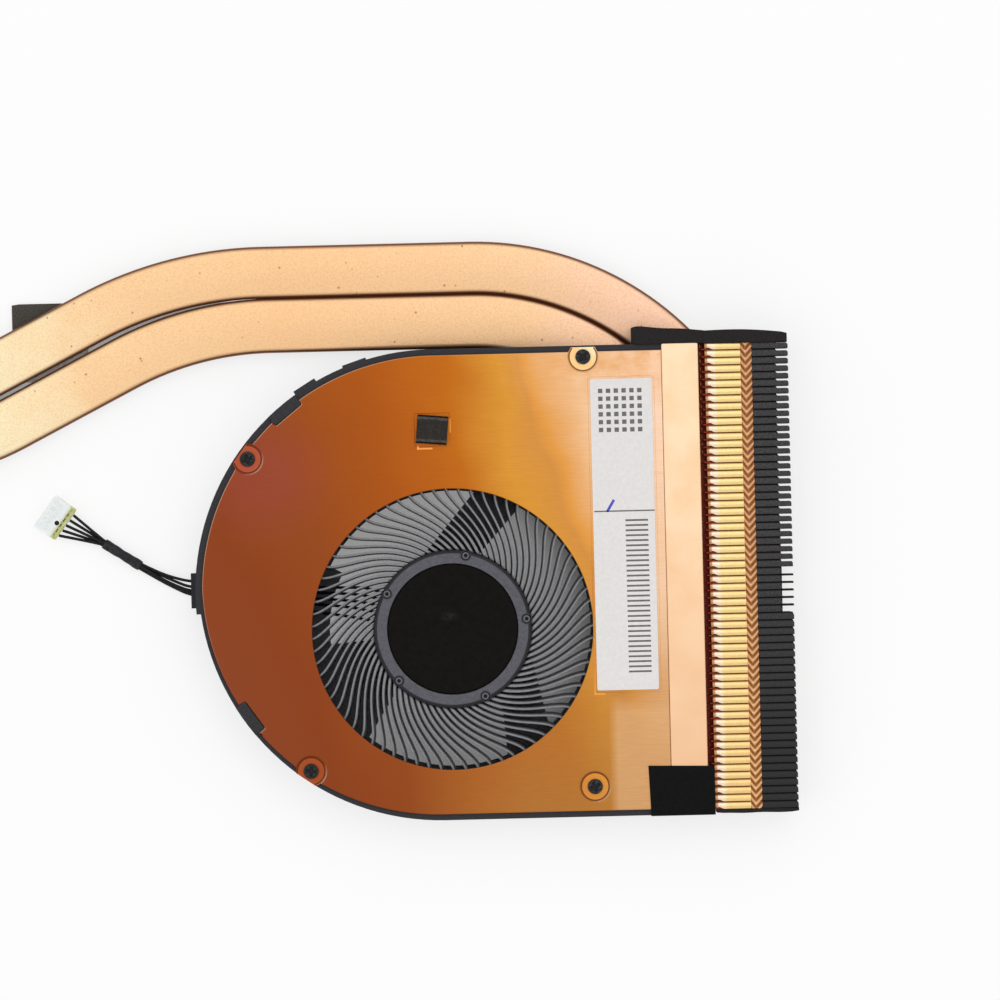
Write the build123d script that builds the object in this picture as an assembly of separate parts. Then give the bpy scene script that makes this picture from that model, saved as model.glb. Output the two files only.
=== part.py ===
from build123d import *
import math
import os

# Laptop blower with two flattened heat pipes and a folded fin stack, in millimetres.
# The origin is on the rotor axis at the underside, +X points to the outlet, +Y to the pipes, +Z up.

# Fan housing
fan_height = 8.0
base_sheet = 0.4
cover_sheet = 0.5
housing_left = 40.7
housing_lower_left = 40.2
housing_top = 44.5
housing_bottom = 30.3
upper_level = 6.3
lower_level = 8.1
upper_sweep = 94.5
outlet_end = 40.0
cover_left = 39.6
cover_top = 43.5
cover_bottom = 29.35
cover_end = 34.1
wall_width = 2.5
inlet_radius = 22.3
step_wall = 0.8
raised_floor = 0.6

# Tabs of the frame in notches of the cover: angle about their scroll arc
tab_length = 5.4
tab_depth = 1.85
tab_drop = 0.1
tab_clearance = 0.05
upper_tab_angle = 128.7
lower_tab_angle = 215.0

# Flat ledges on the outside of the frame's upper arc: angle and how far each stands out
ledge_length = 3.9
ledges = [(121.5, 0.5), (108.5, 0.3)]

# Cover screws and their pressed seats
screw_points = [(-31.9, 27.75), (21.7, 42.7), (-23.0, -22.0), (22.0, -25.5)]
seat_radius = 2.35
seat_depth = 0.3
ear_border = 0.4
screw_head_radius = 1.2
screw_head_height = 0.45
screw_shank_radius = 0.6
screw_length = 3.5
shank_sides = 8
seat_sides = 12
boss_radius = 2.6

# Base sheet openings: angles at the rim and at the hub of each opening between two struts
base_inlet_radius = 22.0
motor_seat_radius = 12.6
base_opening_angles = [(-47, 60, -16, 69), (80, 186, 111, 187), (231, 292, 226, 306)]
shelf_radius = 19.7
shelf_angles = (152, 189)
shelf_overlap = 1.0

# Rotor
tip_radius = 26.4
hub_radius = 12.4
rotor_bottom = 1.5
rotor_top = 7.0
blade_count = 71
blade_thickness = 0.3
blade_slant = 4.0
blade_turn_length = 10.45
blade_turn_power = 3.7
blade_phase = 2.9
blade_steps = 5
cup_radius = 10.4
cup_wall = 0.4
cup_recess = 0.1
cup_depth = 4.8
magnet_wall = 0.9
magnet_height = 3.6
cup_sides = 36
dimple_count = 5
dimple_angle = 6.6
dimple_circle = 11.5
dimple_radius = 0.4
dimple_depth = 0.6
dimple_sides = 6
magnet_sides = 24
shaft_radius = 0.75

# Motor parts that stand still
bearing_clearance = 0.03
thrust_thickness = 0.4
thrust_play = 0.05
sleeve_wall = 1.5
sleeve_height = 4.8
stator_air_gap = 0.4
stator_height = 2.6
stator_bottom = 2.8
stator_teeth = 4
stator_yoke = 1.3
tooth_width = 1.6
shoe_width = 6.2
shoe_depth = 0.9
coil_side = 0.9
coil_gap = 0.15
board_thickness = 0.5
board_radius = 9.4
board_sides = 8
chip_size = 2.2
chip_height = 0.6
chip_place = (-4.4, -5.2)

# Heat pipes
plate_thickness = 0.8
pipe_width = 8.0
pipe_thickness = 2.2
pipe_edge = 0.65
pipe_clearance = 0.5
pipe_gap = 0.5
pipe_under_floor = 0.1
bend_x = 4.0
bend_y = 13.0
inner_bend = 36.0
pipe_fin_end = -27.0
pipe_plate_end = -124.0
inner_level = 30.0
inner_first_corner = -78.0
inner_second_corner = -40.5
inner_second_bend = 52.0
first_bend = 40.0
outer_corner_shift = 3.2

# Fin stack: as many fins as fit beside the outlet, which end above the housing's lower side
stack_short = 0.7
fin_pitch = 1.195
fin_thickness = 0.2
fin_flange_gap = 0.08
fin_start = 40.25
fin_overhang = 1.75
notched_fins = range(26, 32)
notch_depth = 1.85

# Cold plate and the spring bar that presses the pipes and the plate down
cold_plate_x = -108.0
cold_plate_length = 28.0
cold_plate_margin = 7.0
bar_width = 8.0
bar_thickness = 0.8
bar_hole_spacing = 44.0
bar_hole_radius = 1.2
bar_end = 3.5
bar_corner = 2.0

# Foam, tape, label and pads
label_x = 27.6
label_y = 14.4
label_width = 9.8
label_length = 49.4
label_thickness = 0.12
pocket_depth = 0.1
pocket_border = 0.35
pad_place = (-2.5, 31.7)
pad_width = 4.9
pad_length = 4.5
pad_thickness = 0.5
pad_turn = -4.0
strip_end = 39.6
strip_gap = 0.1
tape_start = 30.8
tape_end = 41.0
tape_top = -22.4
tape_thickness = 0.12
tape_drop = 4.0
upper_foam_start = 29.5
upper_foam_short = 0.15
upper_foam_width = 2.9
upper_foam_rise = 0.5
upper_foam_step_at = 44.0
upper_foam_step = 0.4
lower_foam_start = 41.2
lower_foam_width = 0.7
support_x = -63.3
support_y = 47.2
support_length = 12.0
support_width = 12.5

# Lead wires, sleeve and plug
wire_count = 5
bundle_order = [1, 2, 0, 3, 4]
wire_radius = 0.23
wire_sides = 4
bundle_slack = 1.02
gate_y = 7.0
gate_width = 5.6
gate_reach = 0.9
gate_height = 2.6
gate_wire_pitch = 0.56
slot_margin = 0.7
slot_height = 0.7
board_wire_pitch = 0.9
board_wire_y = 2.6
sleeve_start = (-55.3, 15.4, 0.95)
sleeve_end = (-49.5, 10.95, 0.95)
sleeve_lead = 1.5
sleeve_bore = 0.72
sleeve_skin = 0.14
sleeve_sides = 8
plug_x = -63.1
plug_y = 19.2
plug_turn = -37.0
plug_width = 6.0
plug_depth = 4.0
plug_height = 2.3
plug_pitch = 1.0
plug_lip = 0.5
cavity_width = 0.8
cavity_height = 0.9
cavity_floor = 0.55
terminal_width = 0.5
terminal_height = 0.6
terminal_inset = 0.3
wire_gap = 0.1

# Levels and places that follow from the sizes above
cover_under = fan_height - cover_sheet
seat_floor = fan_height - seat_depth
pipe_bottom = plate_thickness
pipe_top = pipe_bottom + pipe_thickness
raised_under = pipe_top + pipe_under_floor
raised_top = raised_under + raised_floor
relief_radius = inner_bend - pipe_width / 2 - pipe_clearance
upper_radius = housing_top - upper_level
lower_radius = housing_bottom + lower_level
upper_center = (upper_radius - housing_left, upper_level)
lower_center = (lower_radius - housing_lower_left, lower_level)
pipe_step = pipe_width + pipe_gap
outer_bend = inner_bend + pipe_step
outer_level = inner_level + pipe_step
outer_first_corner = inner_first_corner - outer_corner_shift
outer_second_corner = inner_second_corner - outer_corner_shift
outer_second_bend = inner_second_bend + pipe_step
fin_end = bend_x + outer_bend + pipe_width / 2 + fin_overhang
upper_foam_end = fin_end - upper_foam_short
fin_count = int((housing_top + housing_bottom - stack_short) / fin_pitch)
fin_low_y = housing_top - fin_count * fin_pitch
far = 200.0


def slab(face, low, high):
    """The flat face extruded from one height to another."""
    return extrude(Plane.XY.offset(low) * face, high - low)


def block(x0, x1, y0, y1, z0, z1):
    """A box given by its sides."""
    return Pos((x0 + x1) / 2, (y0 + y1) / 2, (z0 + z1) / 2) * Box(x1 - x0, y1 - y0, z1 - z0)


def panel(x0, x1, y0, y1):
    """A flat rectangle given by its sides."""
    return Pos((x0 + x1) / 2, (y0 + y1) / 2) * Rectangle(x1 - x0, y1 - y0)


def half_face(arc, end):
    """One half of the scroll: an arc on the left, closed by straight sides to the outlet."""
    first = arc @ 0
    last = arc @ 1
    corners = [(last.X, last.Y), (end, last.Y), (end, first.Y), (first.X, first.Y)]
    return make_face([arc, Polyline(*corners)])


def scroll_face(top, bottom, upper_left, lower_left, end):
    """The fan's plan: an upper and a lower arc on the left, straight sides to the outlet."""
    upper = top - upper_level
    lower = bottom + lower_level
    upper_arc = CenterArc((upper - upper_left, upper_level), upper, 90, upper_sweep)
    lower_arc = CenterArc((lower - lower_left, lower_level), lower, 180, 90)
    return half_face(upper_arc, end) + half_face(lower_arc, end)


def housing_face(inset, end):
    """The housing's plan, or the same moved inwards."""
    left = housing_left - inset
    return scroll_face(housing_top - inset, housing_bottom - inset, left, housing_lower_left - inset, end)


def low_region(radius):
    """The part of the plan where nothing passes under the fan: inside the pipes' bend."""
    left_side = panel(-far, bend_x, -far, far)
    right_side = panel(bend_x, bend_x + radius, -far, bend_y)
    return left_side + right_side + Pos(bend_x, bend_y) * Circle(radius)


def tab_face(center, radius, angle, clearance):
    """A tab of the frame's rim that keys into a notch of the cover."""
    inner = radius - tab_depth - clearance
    tab = Rectangle(radius - inner, tab_length + 2 * clearance, align=(Align.MIN, Align.CENTER))
    return Pos(*center) * Rot(0, 0, angle) * Pos(inner, 0) * tab


def ledge_face(angle, reach):
    """A flat ledge on the outside of the frame's upper arc."""
    inner = upper_radius - wall_width / 2
    ledge = Rectangle(upper_radius + reach - inner, ledge_length, align=(Align.MIN, Align.CENTER))
    return Pos(*upper_center) * Rot(0, 0, angle) * Pos(inner, 0) * ledge


def tab_faces(clearance):
    """Both tabs, cut off at the housing's edge."""
    upper = tab_face(upper_center, upper_radius, upper_tab_angle, clearance)
    lower = tab_face(lower_center, lower_radius, lower_tab_angle, clearance)
    return (upper + lower) & housing_face(0, outlet_end)


def around_screws(face):
    """Copies of a face round the four screws, cut off at the housing's edge."""
    copies = [Pos(*point) * face for point in screw_points]
    return (copies[0] + copies[1:]) & housing_face(0, outlet_end)


def shank_face():
    return RegularPolygon(screw_shank_radius, shank_sides)


def seat_face(radius):
    """A small round, drawn with flats."""
    return RegularPolygon(radius, seat_sides)


def opening_face(rim_from, rim_to, hub_from, hub_to):
    """An air opening of the base between two struts."""
    rim = CenterArc((0, 0), base_inlet_radius, rim_from, rim_to - rim_from)
    hub = CenterArc((0, 0), motor_seat_radius, hub_from, hub_to - hub_from)
    return make_face([rim, Line(rim @ 1, hub @ 1), hub, Line(hub @ 0, rim @ 0)])


def shelf_face():
    """The ledge of the base that carries the wires at one opening's rim."""
    start, end = shelf_angles
    outer = CenterArc((0, 0), base_inlet_radius + shelf_overlap, start, end - start)
    inner = CenterArc((0, 0), shelf_radius, start, end - start)
    return make_face([outer, Line(outer @ 1, inner @ 1), inner, Line(inner @ 0, outer @ 0)])


def make_bottom_cover():
    plan = housing_face(0, outlet_end) & low_region(relief_radius)
    for angles in base_opening_angles:
        plan -= opening_face(*angles)
    plan += shelf_face()
    return slab(plan, 0, base_sheet)


def make_fan_frame():
    outside = housing_face(0, outlet_end)
    wall = outside - housing_face(wall_width, outlet_end + wall_width)
    wall += around_screws(seat_face(boss_radius))
    low = low_region(relief_radius)
    frame = slab(wall & low, base_sheet, raised_under)
    frame += slab(wall, raised_under, cover_under)
    frame += slab(outside - low, raised_under, raised_top)
    frame += slab((low - low_region(relief_radius - step_wall)) & outside, base_sheet, raised_top)
    frame += slab(tab_faces(0), cover_under, fan_height - tab_drop)
    for angle, reach in ledges:
        frame += slab(ledge_face(angle, reach), raised_under, cover_under)
    gate = (-housing_left - gate_reach, -housing_left + wall_width)
    half_gate = gate_width / 2
    frame += block(*gate, gate_y - half_gate, gate_y + half_gate, base_sheet, base_sheet + gate_height)
    half_slot = (wire_count - 1) * gate_wire_pitch / 2 + slot_margin
    slot_top = base_sheet + slot_height
    frame -= block(gate[0] - 1, gate[1] + 1, gate_y - half_slot, gate_y + half_slot, base_sheet, slot_top)
    return frame - slab(around_screws(shank_face()), seat_floor - screw_length, cover_under)


def make_top_cover():
    plan = scroll_face(cover_top, cover_bottom, cover_left, cover_left, cover_end)
    plan -= tab_faces(tab_clearance)
    plan = plan + around_screws(seat_face(seat_radius + ear_border)) - Circle(inlet_radius)
    cover = slab(plan - around_screws(shank_face()), cover_under, fan_height)
    cover -= slab(around_screws(seat_face(seat_radius)), seat_floor, fan_height)
    pocket_bottom = fan_height - pocket_depth
    border = 2 * pocket_border
    label_pocket = Pos(label_x, label_y) * Rectangle(label_width + border, label_length + border)
    pad_pocket = Pos(*pad_place) * Rectangle(pad_width + border, pad_length + border)
    return cover - slab(label_pocket + pad_pocket, pocket_bottom, fan_height)


def make_cover_screws():
    screws = []
    for point in screw_points:
        head = slab(Pos(*point) * seat_face(screw_head_radius), seat_floor, seat_floor + screw_head_height)
        screws.append(head + slab(Pos(*point) * shank_face(), seat_floor - screw_length, seat_floor))
    return Compound(screws)


def make_label():
    face = Pos(label_x, label_y) * Rectangle(label_width, label_length)
    return slab(face, fan_height - pocket_depth, fan_height - pocket_depth + label_thickness)


def make_cover_pad():
    face = Pos(*pad_place) * Rot(0, 0, pad_turn) * Rectangle(pad_width, pad_length)
    return slab(face, fan_height - pocket_depth, fan_height - pocket_depth + pad_thickness)


def make_outlet_strip():
    return block(cover_end + strip_gap, strip_end, -housing_bottom, housing_top, cover_under, fan_height)


def make_corner_tape():
    low_y = -housing_bottom - tape_thickness
    top = block(tape_start, tape_end, low_y, tape_top, fan_height, fan_height + tape_thickness)
    return top + block(tape_start, tape_end, low_y, -housing_bottom, fan_height - tape_drop, fan_height)


def make_upper_foam():
    high = fan_height + upper_foam_rise
    sides = (housing_top, housing_top + upper_foam_width)
    foam = block(upper_foam_start, upper_foam_end, *sides, pipe_top, high - upper_foam_step)
    return foam + block(upper_foam_step_at, upper_foam_end, *sides, pipe_top, high)


def make_lower_foam():
    return block(lower_foam_start, fin_end, fin_low_y - lower_foam_width, fin_low_y, pipe_top, fan_height)


def blade_angle(radius):
    """How far the blade has swept round at a radius, in degrees: slanted at the hub, radial at the tip."""
    share = min((radius - hub_radius) / blade_turn_length, 1)
    turned = max(share, 0) ** (blade_turn_power + 1) / (blade_turn_power + 1)
    return blade_slant * blade_turn_length * (share - turned)


def blade_point(radius):
    angle = math.radians(blade_angle(radius))
    return Vector(radius * math.cos(angle), radius * math.sin(angle))


def blade_face():
    """The bent plan of one blade, from inside the hub's ring to the tip."""
    root = hub_radius - blade_thickness
    radii = [root + (tip_radius - root) * step / blade_steps for step in range(blade_steps + 1)]
    probe = blade_thickness / 2
    left = []
    right = []
    for radius in radii:
        along = (blade_point(radius + probe) - blade_point(radius - probe)).normalized()
        across = Vector(-along.Y, along.X) * (blade_thickness / 2)
        left.append(blade_point(radius) + across)
        right.append(blade_point(radius) - across)
    return make_face(Polyline(left + right[::-1], close=True))


def make_impeller():
    hub = Rot(0, 0, blade_phase) * RegularPolygon(hub_radius, blade_count)
    ring = hub - RegularPolygon(cup_radius, cup_sides)
    blade = blade_face()
    blades = [Rot(0, 0, blade_phase + 360 * index / blade_count) * blade for index in range(blade_count)]
    impeller = slab(ring + blades, rotor_bottom, rotor_top)
    dimple = Pos(dimple_circle, 0) * RegularPolygon(dimple_radius, dimple_sides)
    for index in range(dimple_count):
        turn = Rot(0, 0, dimple_angle + 360 * index / dimple_count)
        impeller -= slab(turn * dimple, rotor_top - dimple_depth, rotor_top)
    return impeller


cup_top = rotor_top - cup_recess
cup_bottom = cup_top - cup_depth
cup_inner = cup_radius - cup_wall
bore_radius = shaft_radius + bearing_clearance
sleeve_radius = bore_radius + sleeve_wall
stator_radius = cup_inner - magnet_wall - stator_air_gap
shoe_inner = math.sqrt(stator_radius ** 2 - (shoe_width / 2) ** 2) - shoe_depth


def make_rotor_cup():
    cup = slab(RegularPolygon(cup_radius, cup_sides), cup_bottom, cup_top)
    return cup - slab(RegularPolygon(cup_inner, magnet_sides), cup_bottom, cup_top - cup_wall)


def make_magnet_ring():
    ring = RegularPolygon(cup_inner, magnet_sides) - RegularPolygon(cup_inner - magnet_wall, magnet_sides)
    return slab(ring, cup_bottom, cup_bottom + magnet_height)


def make_shaft():
    return slab(Circle(shaft_radius), base_sheet + thrust_thickness + thrust_play, cup_top - cup_wall)


def make_thrust_pad():
    return slab(seat_face(sleeve_radius), base_sheet, base_sheet + thrust_thickness)


def make_sleeve_bearing():
    ring = seat_face(sleeve_radius) - Circle(bore_radius)
    low = base_sheet + thrust_thickness
    return slab(ring, low, low + sleeve_height)


def tooth_face(index):
    """One T-shaped tooth of the stator."""
    neck = panel(sleeve_radius + stator_yoke / 2, shoe_inner, -tooth_width / 2, tooth_width / 2)
    shoe = panel(shoe_inner, shoe_inner + shoe_depth, -shoe_width / 2, shoe_width / 2)
    return Rot(0, 0, 360 * index / stator_teeth) * (neck + shoe)


def make_stator_core():
    plan = seat_face(sleeve_radius + stator_yoke) + [tooth_face(index) for index in range(stator_teeth)]
    plan -= seat_face(sleeve_radius)
    return slab(plan, stator_bottom, stator_bottom + stator_height)


def make_stator_coils():
    coils = []
    start = sleeve_radius + stator_yoke + coil_gap
    end = shoe_inner - coil_gap
    half = tooth_width / 2
    wide = half + coil_side
    low = stator_bottom
    high = stator_bottom + stator_height
    for index in range(stator_teeth):
        outside = block(start, end, -wide, wide, low - coil_side / 2, high + coil_side / 2)
        inside = block(start, end, -half, half, low, high)
        coils.append(Rot(0, 0, 360 * index / stator_teeth) * (outside - inside))
    return Compound(coils)


def make_motor_board():
    outline = Rot(0, 0, 180 / board_sides) * RegularPolygon(board_radius, board_sides)
    plan = outline - seat_face(sleeve_radius)
    return slab(plan, base_sheet, base_sheet + board_thickness)


def make_driver_chip():
    low = base_sheet + board_thickness
    return Pos(*chip_place, low + chip_height / 2) * Box(chip_size, chip_size, chip_height)


plug_frame = Pos(plug_x, plug_y) * Rot(0, 0, plug_turn)
cavity_level = cavity_floor + cavity_height / 2


def plug_line(index):
    """How far one wire's cavity lies from the plug's middle line."""
    return (index - (wire_count - 1) / 2) * plug_pitch


def make_connector_housing():
    half = plug_depth / 2
    half_width = plug_width / 2
    body = block(-half, half, -half_width, half_width, 0, plug_height)
    rear = half_width - plug_pitch / 2
    body -= block(half - 2 * plug_lip, half, -rear, rear, plug_height - plug_lip, plug_height)
    side = cavity_width / 2
    cavity_top = cavity_floor + cavity_height
    for index in range(wire_count):
        y = plug_line(index)
        body -= block(-half, half, y - side, y + side, cavity_floor, cavity_top)
    return plug_frame * body


def make_connector_terminals():
    terminals = []
    end = plug_depth / 2
    half = terminal_width / 2
    low = cavity_level - terminal_height / 2
    for index in range(wire_count):
        y = plug_line(index)
        contact = block(terminal_inset - end, end, y - half, y + half, low, low + terminal_height)
        terminals.append(plug_frame * contact)
    return Compound(terminals)


def bundle_offset(index):
    """A wire's place in the round bundle inside the sleeve: across and up."""
    angle = math.radians(90 + 360 * index / wire_count)
    ring = bundle_slack * wire_radius / math.sin(math.pi / wire_count)
    return ring * math.cos(angle), ring * math.sin(angle)


def lead_points(index):
    """A wire's route from its terminal through the sleeve and the gate to the motor board."""
    place = plug_frame * Pos(plug_depth / 2 + wire_gap, plug_line(index), cavity_level)
    start = place.position
    along = (Vector(sleeve_end) - Vector(sleeve_start)).normalized()
    across = Vector(-along.Y, along.X)
    side, up = bundle_offset(bundle_order[index])
    shift = across * side + Vector(0, 0, up)
    middle = (wire_count - 1) / 2
    gate = Vector(-housing_left, gate_y + (index - middle) * gate_wire_pitch, base_sheet + wire_radius)
    board_x = -board_radius * math.cos(math.pi / board_sides)
    board = Vector(board_x, board_wire_y + (index - middle) * board_wire_pitch, base_sheet + wire_radius)
    into_sleeve = Vector(sleeve_start) - along * sleeve_lead + shift
    out_of_sleeve = Vector(sleeve_end) + along * sleeve_lead + shift
    return [start, into_sleeve, out_of_sleeve, gate, board]


def make_lead_wire(index):
    path = Polyline(*lead_points(index))
    section = Plane(path @ 0, z_dir=path % 0) * RegularPolygon(wire_radius, wire_sides)
    return sweep(section, path, transition=Transition.RIGHT)


def make_cable_sleeve():
    start = Vector(sleeve_start)
    along = Vector(sleeve_end) - start
    bore = RegularPolygon(sleeve_bore, sleeve_sides)
    ring = RegularPolygon(sleeve_bore + sleeve_skin, sleeve_sides) - bore
    return extrude(Plane(start, z_dir=along.normalized()) * ring, along.length)


def pipe_section():
    """A flattened pipe, with the upper edges rounded off."""
    corners = Rectangle(pipe_width, pipe_thickness).vertices().sort_by(Axis.Y)
    return chamfer(corners[2:], pipe_edge)


def make_heat_pipe(level, first_corner, second_corner, bend, second_bend):
    run_y = bend_y + bend
    fin_x = bend_x + bend
    points = [
        (pipe_plate_end, level),
        (first_corner, level),
        (second_corner, run_y),
        (fin_x, run_y),
        (fin_x, pipe_fin_end),
    ]
    path = FilletPolyline(*points, radius=[first_bend, second_bend, bend])
    path = Pos(0, 0, pipe_bottom + pipe_thickness / 2) * path
    section = Plane(path @ 0, x_dir=(0, 1, 0), z_dir=(1, 0, 0)) * pipe_section()
    return sweep(section, path)


def make_fin_stack():
    """Folded fins: each web stands on the pipes, with a top flange that reaches to the next web."""
    fins = []
    reach = fin_pitch - fin_flange_gap
    flange_under = fan_height - fin_thickness
    for index in range(fin_count):
        low_y = fin_low_y + index * fin_pitch
        web = block(fin_start, fin_end, low_y, low_y + fin_thickness, pipe_top, fan_height)
        flange_end = fin_end - notch_depth if index in notched_fins else fin_end
        fins.append(web + block(fin_start, flange_end, low_y, low_y + reach, flange_under, fan_height))
    return Compound(fins)


inner_route = (inner_level, inner_first_corner, inner_second_corner, inner_bend, inner_second_bend)
outer_route = (outer_level, outer_first_corner, outer_second_corner, outer_bend, outer_second_bend)
plate_low_y = inner_level - pipe_width / 2 - cold_plate_margin
plate_high_y = outer_level + pipe_width / 2 + cold_plate_margin


def make_cold_plate():
    half = cold_plate_length / 2
    return block(cold_plate_x - half, cold_plate_x + half, plate_low_y, plate_high_y, 0, plate_thickness)


def make_spring_bar():
    length = bar_hole_spacing + 2 * bar_end
    plan = chamfer(Rectangle(bar_width, length).vertices(), bar_corner)
    for side in (-1, 1):
        plan -= Pos(0, side * bar_hole_spacing / 2) * Circle(bar_hole_radius)
    middle = (inner_level + outer_level) / 2
    return slab(Pos(cold_plate_x, middle) * plan, pipe_top, pipe_top + bar_thickness)


def make_support_pad():
    return Pos(support_x, support_y, pipe_bottom / 2) * Box(support_length, support_width, pipe_bottom)


nodes = {
    "bottom_cover": make_bottom_cover(),
    "fan_frame": make_fan_frame(),
    "top_cover": make_top_cover(),
    "cover_screws": make_cover_screws(),
    "label": make_label(),
    "cover_pad": make_cover_pad(),
    "outlet_strip": make_outlet_strip(),
    "corner_tape": make_corner_tape(),
    "foam_strip_upper": make_upper_foam(),
    "foam_strip_lower": make_lower_foam(),
    "impeller": make_impeller(),
    "rotor_cup": make_rotor_cup(),
    "magnet_ring": make_magnet_ring(),
    "shaft": make_shaft(),
    "thrust_pad": make_thrust_pad(),
    "sleeve_bearing": make_sleeve_bearing(),
    "stator_core": make_stator_core(),
    "stator_coils": make_stator_coils(),
    "motor_board": make_motor_board(),
    "driver_chip": make_driver_chip(),
    "cable_sleeve": make_cable_sleeve(),
    "connector_housing": make_connector_housing(),
    "connector_terminals": make_connector_terminals(),
    "heat_pipe_lower": make_heat_pipe(*inner_route),
    "heat_pipe_upper": make_heat_pipe(*outer_route),
    "fin_stack": make_fin_stack(),
    "cold_plate": make_cold_plate(),
    "spring_bar": make_spring_bar(),
    "support_pad": make_support_pad(),
}
for wire in range(wire_count):
    nodes[f"lead_wire_{wire + 1}"] = make_lead_wire(wire)

os.makedirs("parts", exist_ok=True)
for name, shape in nodes.items():
    export_step(shape, f"parts/{name}.step")
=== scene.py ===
import math

import bmesh
import bpy
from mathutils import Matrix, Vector
from mathutils.geometry import tessellate_polygon


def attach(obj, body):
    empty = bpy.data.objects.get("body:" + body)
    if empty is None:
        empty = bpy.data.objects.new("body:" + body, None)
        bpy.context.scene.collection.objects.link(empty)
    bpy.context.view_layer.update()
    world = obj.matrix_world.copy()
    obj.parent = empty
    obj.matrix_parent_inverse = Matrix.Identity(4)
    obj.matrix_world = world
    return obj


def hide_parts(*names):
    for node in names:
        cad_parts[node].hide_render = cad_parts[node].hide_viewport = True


# The finish of a laptop blower with heat pipes and a fin stack. Sizes are in millimetres.

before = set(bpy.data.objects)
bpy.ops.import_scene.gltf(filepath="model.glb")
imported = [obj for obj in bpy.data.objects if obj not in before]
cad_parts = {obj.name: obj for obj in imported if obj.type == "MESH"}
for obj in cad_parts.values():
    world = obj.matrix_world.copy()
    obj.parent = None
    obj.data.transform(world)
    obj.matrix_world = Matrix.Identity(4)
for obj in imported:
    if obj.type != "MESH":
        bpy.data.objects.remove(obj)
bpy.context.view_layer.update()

MM = 0.001
UP = (0, 0, 1)

# Camera, stage and lamps: a lamp has its place, its side and its power in watts
photo_width = 158.6
view_center = (8.0, 20.3)
view_height = 900.0
view_turn = -1.4
view_limit = 10000.0
sensor = 36.0
floor_size = 3000.0
floor_drop = 0.02
floor_glow = 0.7
# The floor glows less under the fan and along the gap between the pipes, as painted shadow.
shaded_glow = (0.25, 0.16)
gap_glow = 0.17
world_strength = 0.78
lamps = {"key_lamp": ((300, 450, 1200), 900, 2.6), "fill_lamp": ((-600, -300, 1000), 800, 1.2)}

# Meshes: points that lie this close are one, and steeper creases than this stay sharp
merge_distance = 0.0005
crease_angle = 38.0

# Fan housing, as in the solids
fan_height = 8.0
cover_under = 7.5
housing_left = 40.7
housing_lower_left = 40.2
housing_top = 44.5
housing_bottom = 30.3
upper_level = 6.3
lower_level = 8.1
cover_left = 39.6
cover_top = 43.5
cover_bottom = 29.35
cover_end = 34.1
cover_bevel = 0.15
edge_spacing = 0.9
inlet_radius = 22.3
inlet_steps = 200
tab_length = 5.4
tab_depth = 1.85
tab_clearance = 0.05
upper_tab_angle = 128.7
lower_tab_angle = 215.0
notch_round = 0.25
pink_center = (-29.5, 25.0)
pink_reach = 12.0
# Bright lines along the label pocket's lower-left edges and the pad pocket's lower and right edges:
# painted highlights on these edges.
pocket_edge_highlights = [(-4.9, -2.5, 28.6, 28.85), (-4.95, -4.65, 28.6, 29.2), (0.25, 0.45, 31.2, 33.4),
              (22.25, 22.45, -10.8, -2.0), (22.25, 24.0, -10.95, -10.75)]

# Screws and their pressed seats
screw_points = [(-31.9, 27.75), (21.7, 42.7), (-23.0, -22.0), (22.0, -25.5)]
seat_radius = 2.4
seat_floor = 7.7
seat_wall = [(2.42, 7.69), (2.42, 7.89), (2.36, 7.88), (2.12, 7.73), (2.05, 7.69)]
seat_bevel = 0.02
rim_gap = 0.27
lower_rim_gap = 0.02
screw_head_radius = 1.2
screw_head_height = 0.45
screw_shank_radius = 0.55
shank_clearance = 0.05
screw_length = 3.5
screw_rounding = 0.16
shank_overlap = 0.05
screw_turn = 20
screw_turn_step = 31
cross_arm = 0.72
cross_width = 0.3
cross_depth = 0.22

# Label, pads, strip, tape and foam
label_center = (27.6, 14.4)
label_size = (9.8, 49.4)
label_low = 7.9
label_high = 8.02
mark_sink = 0.01
mark_height = 0.006
rule_place = (27.7, 18.1)
rule_size = (9.6, 0.22)
dot_rows = 6
dot_pitch = 1.24
dot_side = 0.7
dot_corner = (24.3, 31.0)
stripe_count = 31
stripe_pitch = 0.8
stripe_place = (29.6, -7.4)
stripe_size = (3.6, 0.3)
stroke_place = (25.5, 18.95)
stroke_size = (0.42, 2.2)
stroke_turn = -31.0
pocket_depth = 0.1
pocket_border = 0.35
label_pocket_corner = 0.5
pad_pocket_corner = 0.3
pad_center = (-2.5, 31.7)
pad_size = (4.9, 4.5)
pad_turn = -5.4
pad_high = 8.4
strip_sides = (34.13, 39.95)
tape_sides = (30.8, 41.0)
tape_top = -22.4
tape_thickness = 0.12
tape_drop = 4.0
tape_fold = 0.15
tape_gap = 0.01
tape_skew = 0.3
tape_lean = 0.25
foam_low = 3.02
upper_foam_ends = (29.5, 54.1)
upper_foam_split = 40.9
upper_foam_corner = 0.3
left_foam_low_y = 44.4
left_foam_high_y = (47.35, 46.5)
left_foam_top = 8.05
left_foam_wave = 0.05
left_foam_pinch = 0.2
right_foam_low_y = 44.3
right_foam_high_y = (46.4, 45.85)
right_foam_top = 8.1
right_foam_bulge = 0.3
right_foam_pinch = 0.12
lower_foam_ends = (41.2, 54.25)
lower_foam_width = 0.65
lower_foam_gap = 0.01
lower_foam_top = 7.95
lower_foam_wave = 0.04
lower_foam_pinch = 0.12
lower_foam_corner = 0.18
support_center = (-63.3, 47.2)
support_size = (12.0, 12.5)
support_height = 0.79
support_pinch = 0.15
support_corner = 0.2

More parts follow.
